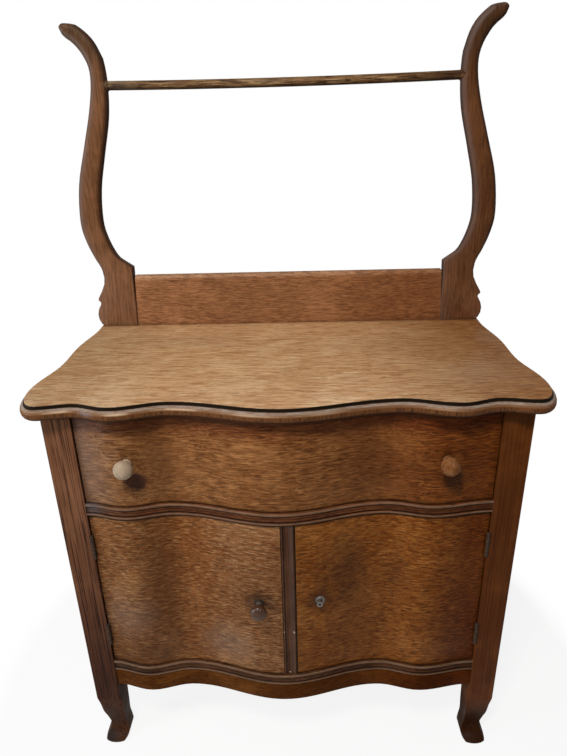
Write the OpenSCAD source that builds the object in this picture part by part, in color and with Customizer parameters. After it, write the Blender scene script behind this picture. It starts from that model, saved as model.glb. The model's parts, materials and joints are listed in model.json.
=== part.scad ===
// Oak washstand: serpentine front with one drawer over two doors, moulded top, and a towel rod
// held by two harp-shaped uprights that stand on the top with a splashboard between them.
// X runs to the right, Y to the back and Z up. Sizes below are measured from the plane of the
// front posts' front faces; on_ground() then centres the whole washstand front to back.

/* [Case] */
// Width over the outer faces of the posts
case_w = 780; // [750:5:880]
// Depth over the posts, front face to back face
case_d = 420; // [380:5:480]
// Height of the top surface above the floor
top_h = 764; // [730:2:810]
// Width of a post seen from the front
post_w = 47; // [42:1:56]
// Depth of a post seen from the side
post_d = 45; // [40:1:54]
// Thickness of the rails between the posts at the sides and back
rail_t = 20; // [18:1:22]
// How far side rails and panels lie behind the posts' outer faces
side_setback = 3; // [1:0.5:6]
// Thickness of the side panels
panel_t = 8; // [6:1:10]
// Thickness of the back boards
back_t = 6; // [5:0.5:8]
// Height of the side and back top rails
side_top_rail_h = 60; // [50:1:75]
// Height of the side and back bottom rails
side_bottom_rail_h = 62; // [52:1:75]
// Height of the side bottom rails' lower edge above the floor
side_rail_low = 152; // [140:1:160]

/* [Serpentine front] */
// How far the middle swell stands in front of the hollows
centre_swell = 34; // [20:1:40]
// How far the side swells stand in front of the hollows
side_swell = 14; // [6:1:20]
// Distance from each post to the side swell next to it, before the shift
side_swell_inset = 86; // [74:1:100]
// Distance from each post to the hollow next to it, before the shift
hollow_inset = 163; // [150:1:180]
// How far the middle swell lies right of the case's middle
swell_shift = -14; // [-20:1:20]
// How far drawer front and doors lie behind the rail mouldings
face_setback = 5; // [3:0.5:8]
// Height of the moulded rails
rail_h = 24.5; // [22:0.5:27]
// Height of the middle rail's upper edge above the floor
mid_rail_top = 572; // [540:0.5:600]
// Height of the bottom rail's upper edge above the floor
bottom_rail_top = 213.5; // [195:0.5:230]
// Height of the apron below the bottom rail
apron_h = 37; // [28:0.5:45]
// Thickness of the apron
apron_t = 22; // [18:1:26]
// Width of the stile between the doors
stile_w = 23.4; // [18:0.2:30]

/* [Top] */
// Thickness of the top
top_t = 24; // [20:1:30]
// How far the moulded edge reaches beyond the flat surface
edge_reach = 9; // [6:0.5:12]
// How far the sides of the flat surface overhang the case
side_overhang = 32; // [24:1:40]
// How far the flat surface's front hollows stand in front of the posts
front_overhang = 5; // [2:0.5:12]
// How far the top reaches behind the back posts
back_overhang = 8; // [0:1:20]
// Middle swell of the top's front edge
top_centre_swell = 32.5; // [20:0.5:40]
// How far the top's middle swell lies right of the case's middle
top_swell_shift = -5; // [-15:1:15]
// Side swells of the top's front edge
top_side_swell = 19; // [10:0.5:24]
// Distance from each post to the top's side swell next to it
top_swell_inset = 72; // [60:1:90]
// Distance from each post to the top's hollow next to it
top_hollow_inset = 161; // [145:1:180]
// How far the top's front corners stand in front of its hollows
corner_swell = 11.5; // [6:0.5:16]
// How far the dips beside the corners stand in front of the hollows
corner_dip = 3; // [0:0.5:6]
// Wave depth of the top's side edges
top_side_wave = 11; // [5:0.5:14]
// Length of the rounded front corners, front to back
corner_l = 76; // [60:1:86]
// Width of the rounded front corners
corner_w = 34; // [28:1:40]

/* [Legs] */
// Height of the knee above the floor
knee_h = 118; // [100:1:135]

/* [Drawer] */
// Thickness of the drawer sides and back
drawer_board_t = 12; // [10:0.5:14]
// Thickness of the drawer bottom
drawer_bottom_t = 6; // [5:0.5:8]
// Distance from the drawer front's face at the hollows to its flat back
drawer_front_t = 19; // [17:1:26]
// Gap between the drawer sides' rear ends and the back rail
drawer_back_gap = 13; // [6:1:60]
// Number of dovetails at each front corner
tails = 5; // [3:1:7]
// Gap round the drawer front
drawer_gap = 1.5; // [1:0.1:2.5]
// Distance of each drawer knob from its post
drawer_knob_inset = 84.5; // [60:0.5:160]
// How far the drawer slides out
drawer_travel = 300; // [200:5:320]

/* [Doors] */
// Thickness of the doors
door_t = 20; // [17:1:24]
// Gap over and under the doors
door_gap = 1.5; // [1:0.1:2.5]
// Gap between a door and the stile
stile_gap = 1; // [0.8:0.1:2]
// Gap between a door and its post, filled by the hinge
hinge_gap = 1.3; // [1:0.1:2]
// Length of a hinge
hinge_l = 47; // [40:1:60]
// Width of a hinge leaf
leaf_w = 18; // [14:0.5:18.5]
// Thickness of a hinge leaf
leaf_t = 1.2; // [1:0.1:1.6]
// Radius of a hinge knuckle
knuckle_r = 3.2; // [2.8:0.1:3.6]
// Radius of a hinge pin
hinge_pin_r = 1.3; // [1.1:0.05:1.5]
// Height of the lower hinges' middles above the bottom rail
low_hinge_h = 67.5; // [50:0.5:90]
// Distance of the upper hinges' middles below the middle rail
top_hinge_h = 65.5; // [50:0.5:90]

/* [Knobs and catches] */
// Radius of the drawer knobs
drawer_knob_r = 15.8; // [12:0.2:18]
// Length of the drawer knobs
drawer_knob_l = 35.5; // [30:0.5:44]
// Radius of the door knob
door_knob_r = 14.8; // [11:0.2:17]
// How far the door knob stands in front of its rosette's seat
door_knob_l = 35; // [30:1:42]
// Distance of the catches from the middle
catch_x = 53.5; // [46:0.5:64]
// Height of the catches above the floor
catch_h = 380; // [340:1:440]
// Radius of the catch spindles
spindle_r = 3.2; // [2.6:0.1:4]
// Radius of the rosettes
rosette_r = 9.5; // [8:0.5:12]
// Width of a catch tongue
tongue_w = 12; // [9:0.5:15]
// Thickness of a catch tongue
tongue_t = 3; // [2:0.5:4]
// How far a tongue reaches behind the stile when turned
tongue_hold = 6; // [4:0.5:9]

/* [Harps and towel rod] */
// Height of the harps above the top
harp_h = 588; // [540:2:640]
// Thickness of the harps
harp_t = 21; // [18:1:24]
// Distance of the harps' inner bottom corners from the inner faces of the posts below
harp_foot_inset = 10; // [0:1:20]
// Height of the towel rod above the top
rod_above = 477.5; // [440:0.5:500]
// Radius of the towel rod
rod_r = 10; // [8:0.5:12]
// Height of the splashboard above the top
splash_h = 110; // [90:1:118]
// Thickness of the splashboard
splash_t = 18; // [14:1:18]
// How far the splashboard lies behind the harps' front faces
splash_setback = 2; // [0.5:0.5:3]

/* [Hidden] */
$fn = 48;

// Clearance of glued joints and of boards in their grooves
fit_gap = 0.1;
// Clearance between moving wooden parts
slide_gap = 0.4;
// Clearance of pins and spindles in their bores
turn_gap = 0.06;
// Depth of the grooves that hold panels and boards
groove_d = 8;
// Length and thickness of the tenons on the side and back rails
tenon_l = 20;
tenon_t = 9;
// How far a tenon is narrower than its rail, at each edge
tenon_shoulder = 8;

// Planes of the case
case_top = top_h - top_t;
post_inner_x = case_w / 2 - post_w;
side_rail_spans = [
  [side_rail_low, side_rail_low + side_bottom_rail_h],
  [case_top - side_top_rail_h, case_top]
];
back_post_y = case_d - post_d;
side_rail_x = case_w / 2 - side_setback - rail_t;
panel_x = case_w / 2 - side_setback - (rail_t + panel_t) / 2;
back_rail_y = case_d - side_setback - rail_t;
back_board_y = back_rail_y + (rail_t - back_t) / 2;
mid_rail_low = mid_rail_top - rail_h;
bottom_rail_low = bottom_rail_top - rail_h;

// A quick curve through points, level by level: n steps between two of them
function spline_point(a, b, c, d, t) =
  0.5 * (2 * b + (c - a) * t + (2 * a - 5 * b + 4 * c - d) * t * t + (3 * b - a - 3 * c + d) * t * t * t);
function spline(p, n) = [
  for (i = [0 : len(p) - 2])
    for (k = [0 : n - (i == len(p) - 2 ? 0 : 1)])
      spline_point(p[max(i - 1, 0)], p[i], p[i + 1], p[min(i + 2, len(p) - 1)], k / n)
];
function backwards(p) = [for (i = [len(p) - 1 : -1 : 0]) p[i]];
// Evenly spaced numbers from a to b in n steps
function steps(a, b, n) = [for (i = [0 : n]) a + (b - a) * i / n];

// A wavy line that is level at each of its turning points
function wave_from(turns, x, i) =
  i < len(turns) - 2 && x > turns[i + 1][0]
    ? wave_from(turns, x, i + 1)
    : turns[i][1] + (turns[i + 1][1] - turns[i][1])
      * (1 - cos(180 * min(1, max(0, (x - turns[i][0]) / (turns[i + 1][0] - turns[i][0]))))) / 2;
function wave(turns, x) = wave_from(turns, x, 0);

// The serpentine of the rails, and the drawer front and doors that follow it
hollow_x = post_inner_x - hollow_inset;
side_swell_x = post_inner_x - side_swell_inset;
front_turns = [
  [-post_inner_x, 0],
  [swell_shift - side_swell_x, -side_swell],
  [swell_shift - hollow_x, 0],
  [swell_shift, -centre_swell],
  [swell_shift + hollow_x, 0],
  [swell_shift + side_swell_x, -side_swell],
  [post_inner_x, 0]
];
function front_y(x) = wave(front_turns, x);
function face_y(x) = front_y(x) + face_setback;
function front_slope(x) = front_y(x + 0.5) - front_y(x - 0.5);

// Points of a round stretch about a middle, from one angle to another in n steps
function arc(x, z, r, from, to, n) = [for (a = steps(from, to, n)) [x + r * cos(a), z + r * sin(a)]];

// Moulding of the rails: a bead, two flat reeds in a sunk band, and a smaller bead. Each point has
// its reach behind the crest, and its height below the rail's upper edge.
rail_outline = concat(
  arc(-3.1, -3.1, 3.1, 90, -50, 6), [[-3.6, -6.9]],
  arc(-5.2, -9.8, 3, 53, -53, 3), arc(-5.2, -15, 3, 53, -53, 3), [[-3.6, -17.9]],
  arc(-3.1, -20.9, 2.6, 60, -90, 6), [[-3.4, -24.5]]
);
rail_outline_h = 24.5;
// How far the apron lies behind the rail's crest
apron_setback = 1.5;

// Edge of the top, a sunk ledge and a round nose: share of its reach, and share of the top's
// thickness below the surface
edge_outline = concat(
  [[0, 0], [0.08, -0.03], [0.1, -0.21], [0.3, -0.225]],
  [for (a = steps(80, -90, 8)) [0.25 + 0.75 * cos(a), -0.62 + 0.38 * sin(a)]]
);

// Turning points of the top's flat surface, along the front and along the sides
top_half_w = case_w / 2 + side_overhang;
top_back_y = case_d + back_overhang;
corner_front_y = -front_overhang - corner_swell;
// How far the dips beside the corners lie inside the posts, and the side edges' crests from their ends
corner_dip_inset = 12;
front_crest_inset = 102;
back_crest_inset = 58;
corner_dip_x = post_inner_x - corner_dip_inset;
top_swell_x = post_inner_x - top_swell_inset;
top_hollow_x = post_inner_x - top_hollow_inset;
top_front_turns = [
  [corner_w - top_half_w, corner_front_y],
  [-corner_dip_x, -front_overhang - corner_dip],
  [-top_swell_x, -front_overhang - top_side_swell],
  [-top_hollow_x, -front_overhang],
  [top_swell_shift, -front_overhang - top_centre_swell],
  [top_hollow_x, -front_overhang],
  [top_swell_x, -front_overhang - top_side_swell],
  [corner_dip_x, -front_overhang - corner_dip],
  [top_half_w - corner_w, corner_front_y]
];
corner_back_y = corner_front_y + corner_l;
front_crest_y = corner_back_y + front_crest_inset;
back_crest_y = top_back_y - back_crest_inset;
top_side_turns = [
  [corner_back_y, 0],
  [front_crest_y, -top_side_wave],
  [(front_crest_y + back_crest_y) / 2, -top_side_wave / 2],
  [back_crest_y, -top_side_wave],
  [top_back_y, -top_side_wave * 0.7]
];
// One side, from the back to the rounded corner, and then half of the corner's ellipse
top_side = [for (y = steps(top_back_y, corner_back_y, 20)) [top_half_w + wave(top_side_turns, y), y]];
top_corner = [
  for (a = steps(0, 90, 9))
    [top_half_w - corner_w + corner_w * cos(a), corner_back_y - corner_l * sin(a)]
];
top_front = [
  for (x = steps(corner_w - top_half_w, top_half_w - corner_w, 72)) [x, wave(top_front_turns, x)]
];
function inner_part(p) = [for (i = [1 : len(p) - 2]) p[i]];
function flip(p) = [for (q = p) [-q[0], q[1]]];
top_path = concat(
  flip(top_side),
  flip([for (i = [1 : len(top_corner) - 1]) top_corner[i]]),
  inner_part(top_front),
  backwards([for (i = [1 : len(top_corner) - 1]) top_corner[i]]),
  backwards(top_side)
);
// Outward direction along the path, square to the back edge at its two ends
function path_normal(p, i) =
  i == 0 ? [-1, 0] : i == len(p) - 1 ? [1, 0]
    : let (t = p[i + 1] - p[i - 1]) [t[1], -t[0]] / norm(t);

// Right foot seen from the front: how far right of the post's outer and inner faces, and share of
// the knee's height
foot_outer = [[0, 1], [-7, 0.76], [-15, 0.57], [-17.5, 0.38], [-10, 0.18], [-3.5, 0.07], [-8, 0]];
foot_inner = [[0, 1.04], [-5, 0.57], [-6.5, 0.38], [-4, 0.19], [2, 0.06], [9, 0]];
// Feet seen from the side: how far behind the post's front and back faces
foot_front = [[0, 1], [6, 0.76], [11.5, 0.57], [13, 0.38], [5, 0.18], [-6, 0.06], [-3, 0]];
foot_back = [[0, 1.04], [-2, 0.57], [-2.5, 0.38], [-3.5, 0.19], [-6, 0.05], [-12, 0]];

// Harp outline as pairs: outer reach and height, inner reach and height, and edge rounding.
// Reach is counted from the inner bottom corner, height from the top surface.
harp_foot_pairs = [
  [74, 0, 0, 0], [80.5, 6, -0.3, 6], [85, 16, -0.8, 16], [85.8, 27, -1.4, 27], [83, 38, -2, 38],
  [76, 50, -2.6, 50], [75.5, 54, -2.8, 54], [80.2, 59, -3, 59], [78.5, 64, -3.3, 64],
  [69, 78, -4, 78], [60.5, 94, -4.9, 94], [58, 108, -5.6, 110], [60, 122, -6.4, 122],
  [62, 129, -6.8, 129], [67, 139, 8, 139.5]
];
harp_pairs = [
  [67, 139, 8, 139.5], [73.5, 151, 24, 154], [86, 182, 39, 191], [93, 225, 45, 228],
  [84.5, 298, 39.5, 289], [63, 369, 23.5, 354], [43, 433, 6, 421], [32.3, 484, 0, 480],
  [34.8, 518, 3.5, 526], [55, 549, 20, 561], [69, 559.8, 44, 582.6], [75, 565, 54, 586.5],
  [79, 570.5, 62.5, 587.9], [80.8, 576.5, 69, 588], [80.3, 581, 74.3, 587]
];
harp_rows = concat(
  [for (i = [0 : len(harp_foot_pairs) - 2]) harp_foot_pairs[i]], spline(harp_pairs, 4)
);
harp_scale = harp_h / max([for (p = harp_rows) max(p[1], p[3])]);
harp_foot_x = post_inner_x - harp_foot_inset;
harp_back_gap = 2.5;
harp_front_y = top_back_y - harp_back_gap - harp_t;
harp_mid_y = harp_front_y + harp_t / 2;
// Rounding of a harp's edges at a height: small on the foot, nearly half the thickness above it
function harp_round(h) = 2.5 + (harp_t / 2 - 3.5) * min(1, max(0, (h - 110) / 60));
// Where the harps' inner edges are at a height above the top
function harp_inner(h) =
  harp_foot_x + lookup(h / harp_scale, [for (p = harp_rows) [p[3], p[2]]]);
// Depth of the rod's sockets in the harps
rod_socket = 14;
rod_half = harp_inner(rod_above) + rod_socket;

// Door and hinge places
door_low = bottom_rail_top + door_gap;
door_high = mid_rail_low - door_gap;
door_outer_x = post_inner_x - hinge_gap;
door_inner_x = stile_w / 2 + stile_gap;
hinge_x = post_inner_x - hinge_gap / 2;
// The hinge pins stand in front of the doors' faces; leaves start a little behind them
hinge_y = face_setback - knuckle_r - 0.8;
leaf_start = 2;
leaf_back_y = hinge_y + leaf_start + leaf_w;
hinge_heights = [bottom_rail_top + low_hinge_h, mid_rail_low - top_hinge_h];
knuckle_gap = 0.3;
pin_head = 1.2;

// Catches: the seats are cut flat into the curved doors
seat_cut = 1.2;
hub_r = 7.5;
tongue_l = catch_x - stile_w / 2 + tongue_hold;
tongue_y = max([for (s = [-1, 1]) for (x = [catch_x - tongue_l : 1 : catch_x + hub_r + 1])
  face_y(s * x) + door_t]) + 0.5;
stile_back_y = tongue_y - 0.6;
function rosette_y(side) = face_y(side * catch_x) + seat_cut;
function hub_y(side) = face_y(side * catch_x) + door_t - seat_cut + slide_gap;
rosette_h = 2.6;
// Length of the left spindle's collar, and the wood in front of its end in the knob
collar_l = 9;
knob_wall = 8;

// Drawer places
drawer_back_plane = face_setback + drawer_front_t;
drawer_low = mid_rail_top + drawer_gap;
drawer_high = case_top - drawer_gap;
drawer_half = post_inner_x - drawer_gap;
kicker_h = 18;
side_out_x = drawer_half - 2.5;
side_low = mid_rail_top + slide_gap;
side_high = case_top - kicker_h - 3;
drawer_end_y = back_rail_y - drawer_back_gap;
drawer_knob_x = post_inner_x - drawer_knob_inset;
// How far the sides run on behind the drawer's back, and the bottom behind the back
drawer_horn = 20;
bottom_lip = 4;
drawer_back_y = drawer_end_y - drawer_horn - drawer_board_t;
lap = 12;
bottom_low = side_low + 9;
bottom_groove = 5;
tail_pitch = (side_high - side_low) / tails;
knob_h = (drawer_low + drawer_high) / 2;
drawer_seat_cut = 0.6;
knob_base_r = 8;
stop_w = 40;
stop_inset = 223;
stop_x = post_inner_x - stop_inset;
runner_in_x = side_out_x - drawer_board_t - 8;
front_top_rail_w = 50;
front_top_rail_back = drawer_back_plane + front_top_rail_w;
floor_t = 15;
// Width and length of a glue block
block_w = 22;
block_l = 60;
// Screws of the top: distance from the posts, and from the ends of the kickers
top_screw_inset = 143;
kicker_screw_inset = 76;
// Screws of harps and splashboard: distances from the harps' inner bottom corners
harp_screw_reach = [-133, 20, 60];
function drawer_seat_y(side) = face_y(side * drawer_knob_x) + drawer_seat_cut;

// Centre of the whole washstand front to back
knob_tip_y = min([
  rosette_y(-1) - door_knob_l, drawer_seat_y(-1) - drawer_knob_l, drawer_seat_y(1) - drawer_knob_l,
  -front_overhang - top_centre_swell - edge_reach
]);
mid_y = (knob_tip_y + top_back_y) / 2;

oak = "#8a5528";
dark_oak = "#6d3f20";
pale_oak = "#b07d42";
inner_wood = "#b08d5c";
iron = "#3a332c";
steel = "#8c8a84";

module on_ground() {
  translate([0, -mid_y, 0]) children();
}
module mirrored(side) {
  scale_x = side < 0 ? 1 : 0;
  mirror([scale_x, 0, 0]) children();
}
// A board from one corner to the opposite one
module board(low, high) {
  translate(low) cube(high - low);
}
// A flat outline in X and Z, thick from y0 to y1
module seen_from_front(y0, y1) {
  translate([0, y1, 0]) rotate([90, 0, 0]) linear_extrude(y1 - y0) children();
}
// A flat outline in Y and Z, thick from x0 to x1
module seen_from_side(x0, x1) {
  translate([x0, 0, 0]) rotate([90, 0, 90]) linear_extrude(x1 - x0) children();
}
// A turned shape whose axis points to the front, starting at a seat
module turned(x, y, z) {
  translate([x, y, z]) rotate([90, 0, 0]) children();
}

// Middle of the box round some points
function box_middle(p) = [for (a = [0 : 2]) (min([for (q = p) q[a]]) + max([for (q = p) q[a]])) / 2];

// A closed skin over rings of points that all have the same number of points. Each end is closed
// by triangles round the middle of its ring.
module skin(rings) {
  n = len(rings);
  m = len(rings[0]);
  polyhedron(
    points = concat([for (r = rings) each r], [box_middle(rings[0]), box_middle(rings[n - 1])]),
    faces = [for (j = [0 : m - 1]) let (k = (j + 1) % m) each concat(
      [[n * m, j, k]],
      [for (i = [0 : n - 2]) each [
        [i * m + j, (i + 1) * m + j, (i + 1) * m + k], [i * m + j, (i + 1) * m + k, i * m + k]
      ]],
      [[n * m + 1, (n - 1) * m + k, (n - 1) * m + j]]
    )],
    convexity = 6
  );
}

// One ring round the top at a point of its edge's outline
function top_ring(e) = [
  for (i = [len(top_path) - 1 : -1 : 0])
    let (q = top_path[i] + edge_reach * e[0] * path_normal(top_path, i)) [q[0], q[1], top_h + top_t * e[1]]
];

module top_board() {
  color(pale_oak) on_ground() skin([for (e = backwards(edge_outline)) top_ring(e)]);
}

// Outline of a foot and post, down its far side and up its near side
function post_outline(far, near, far_at, near_at) = concat(
  [[far_at, case_top]],
  [for (p = spline(far, 4)) [far_at + p[0], p[1] * knee_h]],
  backwards([for (p = spline(near, 4)) [near_at + p[0], p[1] * knee_h]]),
  [[near_at, case_top]]
);

module front_post(side) {
  blank = 20;
  color(dark_oak) on_ground() mirrored(side) difference() {
    intersection() {
      seen_from_front(-blank, post_d + blank)
        polygon(post_outline(foot_outer, foot_inner, case_w / 2, post_inner_x));
      seen_from_side(post_inner_x - blank, case_w / 2 + blank)
        polygon(post_outline(foot_back, foot_front, post_d, 0));
    }
    side_joints(post_d, -1);
    for (h = hinge_heights)
      hinge_mortise(h);
  }
}

module back_post(side) {
  color(dark_oak) on_ground() mirrored(side) difference() {
    board([post_inner_x, back_post_y, 0], [case_w / 2, case_d, case_top]);
    side_joints(back_post_y, 1);
    back_joints();
  }
}

// Groove and mortises in a post for the side rails and panel; way is the direction into the post
module side_joints(face, way) {
  deep = face + way * (groove_d + fit_gap);
  board([panel_x - fit_gap, min(face - way, deep), side_rail_low + groove_d],
    [panel_x + panel_t + fit_gap, max(face - way, deep), case_top + 1]);
  tenon_deep = face + way * (tenon_l + fit_gap);
  tenon_x = side_rail_x + (rail_t - tenon_t) / 2;
  for (z = side_rail_spans)
    board([tenon_x - fit_gap, min(face - way, tenon_deep), z[0] + tenon_shoulder - fit_gap],
      [tenon_x + tenon_t + fit_gap, max(face - way, tenon_deep), z[1] - tenon_shoulder + fit_gap]);
}

module side_rails(side) {
  tenon_x = side_rail_x + (rail_t - tenon_t) / 2;
  color(oak) on_ground() mirrored(side) for (i = [0, 1]) {
    z = side_rail_spans[i];
    edge = i == 0 ? z[1] - groove_d : z[0];
    difference() {
      union() {
        board([side_rail_x, post_d, z[0]], [side_rail_x + rail_t, back_post_y, z[1]]);
        board([tenon_x, post_d - tenon_l, z[0] + tenon_shoulder],
          [tenon_x + tenon_t, back_post_y + tenon_l, z[1] - tenon_shoulder]);
      }
      board([panel_x - fit_gap, post_d - tenon_l - 1, edge - (i == 0 ? fit_gap : 1)],
        [panel_x + panel_t + fit_gap, back_post_y + tenon_l + 1, edge + groove_d + (i == 0 ? 1 : fit_gap)]);
    }
  }
}

module side_panel(side) {
  color(oak) on_ground() mirrored(side)
    board([panel_x, post_d - groove_d, side_rail_spans[0][1] - groove_d],
      [panel_x + panel_t, back_post_y + groove_d, side_rail_spans[1][0] + groove_d]);
}

// Groove and mortises in a back post for the back rails and boards
module back_joints() {
  tenon_y = back_rail_y + (rail_t - tenon_t) / 2;
  board([post_inner_x - 1, back_board_y - fit_gap, side_rail_low + groove_d],
    [post_inner_x + groove_d + fit_gap, back_board_y + back_t + fit_gap, case_top + 1]);
  for (z = side_rail_spans)
    board([post_inner_x - 1, tenon_y - fit_gap, z[0] + tenon_shoulder - fit_gap],
      [post_inner_x + tenon_l + fit_gap, tenon_y + tenon_t + fit_gap, z[1] - tenon_shoulder + fit_gap]);
}

module back_rails() {
  tenon_y = back_rail_y + (rail_t - tenon_t) / 2;
  color(inner_wood) on_ground() for (i = [0, 1]) {
    z = side_rail_spans[i];
    edge = i == 0 ? z[1] - groove_d : z[0];
    groove_top = edge + groove_d + (i == 0 ? 1 : fit_gap);
    difference() {
      union() {
        board([-post_inner_x, back_rail_y, z[0]], [post_inner_x, back_rail_y + rail_t, z[1]]);
        board([-post_inner_x - tenon_l, tenon_y, z[0] + tenon_shoulder],
          [post_inner_x + tenon_l, tenon_y + tenon_t, z[1] - tenon_shoulder]);
      }
      board([-post_inner_x - tenon_l - 1, back_board_y - fit_gap, edge - (i == 0 ? fit_gap : 1)],
        [post_inner_x + tenon_l + 1, back_board_y + back_t + fit_gap, groove_top]);
    }
  }
}

// Upright boards, edge to edge between the grooves
module back_boards() {
  count = 4;
  half = post_inner_x + groove_d;
  pitch = 2 * half / count;
  color(inner_wood) on_ground() for (i = [0 : count - 1])
    board([i * pitch - half + fit_gap, back_board_y, side_rail_spans[0][1] - groove_d],
      [(i + 1) * pitch - half - fit_gap, back_board_y + back_t, side_rail_spans[1][0] + groove_d]);
}

// Flat rail under the top, behind the drawer front
module front_top_rail() {
  color(inner_wood) on_ground()
    board([-post_inner_x, drawer_back_plane + 2, case_top - kicker_h],
      [post_inner_x, front_top_rail_back, case_top]);
}

// A moulded rail that follows the serpentine in front and is flat behind
module moulded_rail(top_z) {
  outline = [for (p = rail_outline) [p[0], p[1] * rail_h / rail_outline_h]];
  skin([
    for (x = steps(-post_inner_x, post_inner_x, 48))
      let (s = front_slope(x), k = sqrt(1 + s * s), y = front_y(x))
      concat(
        [for (p = outline) [x + s / k * p[0], y - p[0] / k, top_z + p[1]]],
        [[x, post_d, top_z - rail_h], [x, post_d, top_z]]
      )
  ]);
}

module mid_rail() {
  color(dark_oak) on_ground() moulded_rail(mid_rail_top);
}

module bottom_rail() {
  color(dark_oak) on_ground() moulded_rail(bottom_rail_top);
}

// A board that follows the serpentine on both faces
function curved_board(x0, x1, front, back, n) = concat(
  [for (x = steps(x0, x1, n)) [x, front_y(x) + front]],
  [for (x = steps(x1, x0, n)) [x, front_y(x) + back]]
);

module apron() {
  color(oak) on_ground() translate([0, 0, bottom_rail_low - apron_h]) linear_extrude(apron_h)
    polygon(curved_board(-post_inner_x, post_inner_x, apron_setback, apron_setback + apron_t, 56));
}

// Stile with a bead along each edge
module centre_stile() {
  bead_r = 2.4;
  face = face_y(0) - 0.5;
  stile_l = mid_rail_low - bottom_rail_top;
  color(dark_oak) on_ground() translate([0, 0, bottom_rail_top]) linear_extrude(stile_l) {
    polygon([
      [-stile_w / 2, stile_back_y], [stile_w / 2, stile_back_y], [stile_w / 2, face + bead_r],
      [stile_w / 2 - 2 * bead_r, face + bead_r], [stile_w / 2 - 2 * bead_r, face + 1.6],
      [2 * bead_r - stile_w / 2, face + 1.6], [2 * bead_r - stile_w / 2, face + bead_r],
      [-stile_w / 2, face + bead_r]
    ]);
    for (s = [-1, 1])
      translate([s * (stile_w / 2 - bead_r), face + bead_r]) circle(bead_r);
  }
}

module cupboard_floor() {
  color(inner_wood) on_ground() translate([0, 0, bottom_rail_top - floor_t]) linear_extrude(floor_t) {
    translate([fit_gap - side_rail_x, post_d + fit_gap])
      square([2 * side_rail_x - 2 * fit_gap, back_post_y - post_d - 2 * fit_gap]);
    translate([fit_gap - post_inner_x, post_d + fit_gap])
      square([2 * post_inner_x - 2 * fit_gap, back_rail_y - post_d - 2 * fit_gap]);
  }
}

module floor_cleats() {
  color(inner_wood) on_ground() for (s = [-1, 1]) mirrored(s)
    board([side_rail_x - 16, post_d, bottom_rail_top - floor_t - 20],
      [side_rail_x, back_post_y, bottom_rail_top - floor_t]);
}

// Runners carry the drawer sides; they reach between the posts and back to the back rail's boards
module drawer_runners() {
  color(inner_wood) on_ground() for (s = [-1, 1]) mirrored(s)
    translate([0, 0, mid_rail_top - rail_h]) linear_extrude(rail_h) {
      translate([runner_in_x, post_d])
        square([side_rail_x - runner_in_x, back_post_y - post_d]);
      translate([runner_in_x, back_post_y - 1])
        square([post_inner_x - runner_in_x, back_board_y - back_post_y + 1]);
    }
}

module drawer_guides() {
  color(inner_wood) on_ground() for (s = [-1, 1]) mirrored(s)
    board([side_out_x + slide_gap, post_d, mid_rail_top], [side_rail_x, back_post_y, mid_rail_top + 22]);
}

// Kickers keep the drawer level when it is pulled out
module drawer_kickers() {
  color(inner_wood) on_ground() for (s = [-1, 1]) mirrored(s)
    board([runner_in_x, front_top_rail_back, case_top - kicker_h],
      [side_out_x, back_rail_y, case_top]);
}

// Blocks on the middle rail that the drawer front meets when shut
module drawer_stops() {
  color(inner_wood) on_ground() for (s = [-1, 1])
    board([s * stop_x - stop_w / 2, drawer_back_plane + slide_gap, mid_rail_top],
      [s * stop_x + stop_w / 2, post_d, bottom_low - 1.5]);
}

// Blocks glued into the corner of top and side rails
module glue_blocks() {
  color(inner_wood) on_ground() for (s = [-1, 1]) mirrored(s)
    for (y = [post_d + block_l, case_d / 2, back_post_y - block_l])
      translate([0, y - block_l / 2, 0]) rotate([-90, 0, 0]) linear_extrude(block_l)
        polygon([
          [side_rail_x, -case_top], [side_rail_x - block_w, -case_top], [side_rail_x, block_w - case_top]
        ]);
}

// A countersunk wood screw along +Z, its head's flat face at z = 0
module wood_screw(r, head_r, l) {
  rotate_extrude($fn = 24)
    polygon([[0, 0], [head_r, 0], [r, head_r - r], [r, l - 2 * r], [0, l]]);
}

// Screws that hold the top, up through the front top rail and the kickers
module top_screws() {
  front_x = post_inner_x - top_screw_inset;
  kicker_x = (runner_in_x + side_out_x) / 2;
  color(steel) on_ground() for (s = [-1, 1])
    for (q = [[front_x, (drawer_back_plane + 2 + front_top_rail_back) / 2],
        [kicker_x, front_top_rail_back + kicker_screw_inset], [kicker_x, back_rail_y - kicker_screw_inset]])
      translate([s * q[0], q[1], case_top - kicker_h]) wood_screw(2, 4, kicker_h + 14);
}

module splashboard() {
  round_r = 7;
  front = harp_front_y + splash_setback;
  slope_at = splash_h + 1;
  color(oak) on_ground() intersection() {
    seen_from_front(front - 1, front + splash_t + 1)
      polygon([
        [fit_gap - harp_inner(0), top_h], [harp_inner(0) - fit_gap, top_h],
        [harp_inner(slope_at) - fit_gap, top_h + slope_at],
        [fit_gap - harp_inner(slope_at), top_h + slope_at]
      ]);
    seen_from_side(-harp_foot_x - 1, harp_foot_x + 1) union() {
      translate([front, top_h]) square([splash_t, splash_h - round_r]);
      translate([front + round_r, top_h + splash_h - round_r - 1]) square([splash_t - round_r, round_r + 1]);
      translate([front + round_r, top_h + splash_h - round_r]) circle(round_r);
    }
  }
}

// One ring round a harp, between its outer and inner edges; the narrow end of its tip gets thinner
function harp_ring(p) =
  let (
    a = [harp_foot_x + p[0], top_h + p[1] * harp_scale],
    b = [harp_foot_x + p[2], top_h + p[3] * harp_scale],
    w = norm(b - a), u = (b - a) / w, thick = min(harp_t, 1.6 * w),
    r = min(harp_round(p[1]), 0.48 * w)
  )
  [for (c = [[r, -1, 180], [w - r, -1, 270], [w - r, 1, 0], [r, 1, 90]])
    for (k = [0 : 3])
      let (t = c[2] + 30 * k, d = c[0] + r * cos(t), q = a + u * d,
        y = harp_mid_y + c[1] * (thick / 2 - r) + r * sin(t)) [q[0], y, q[1]]];

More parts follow.
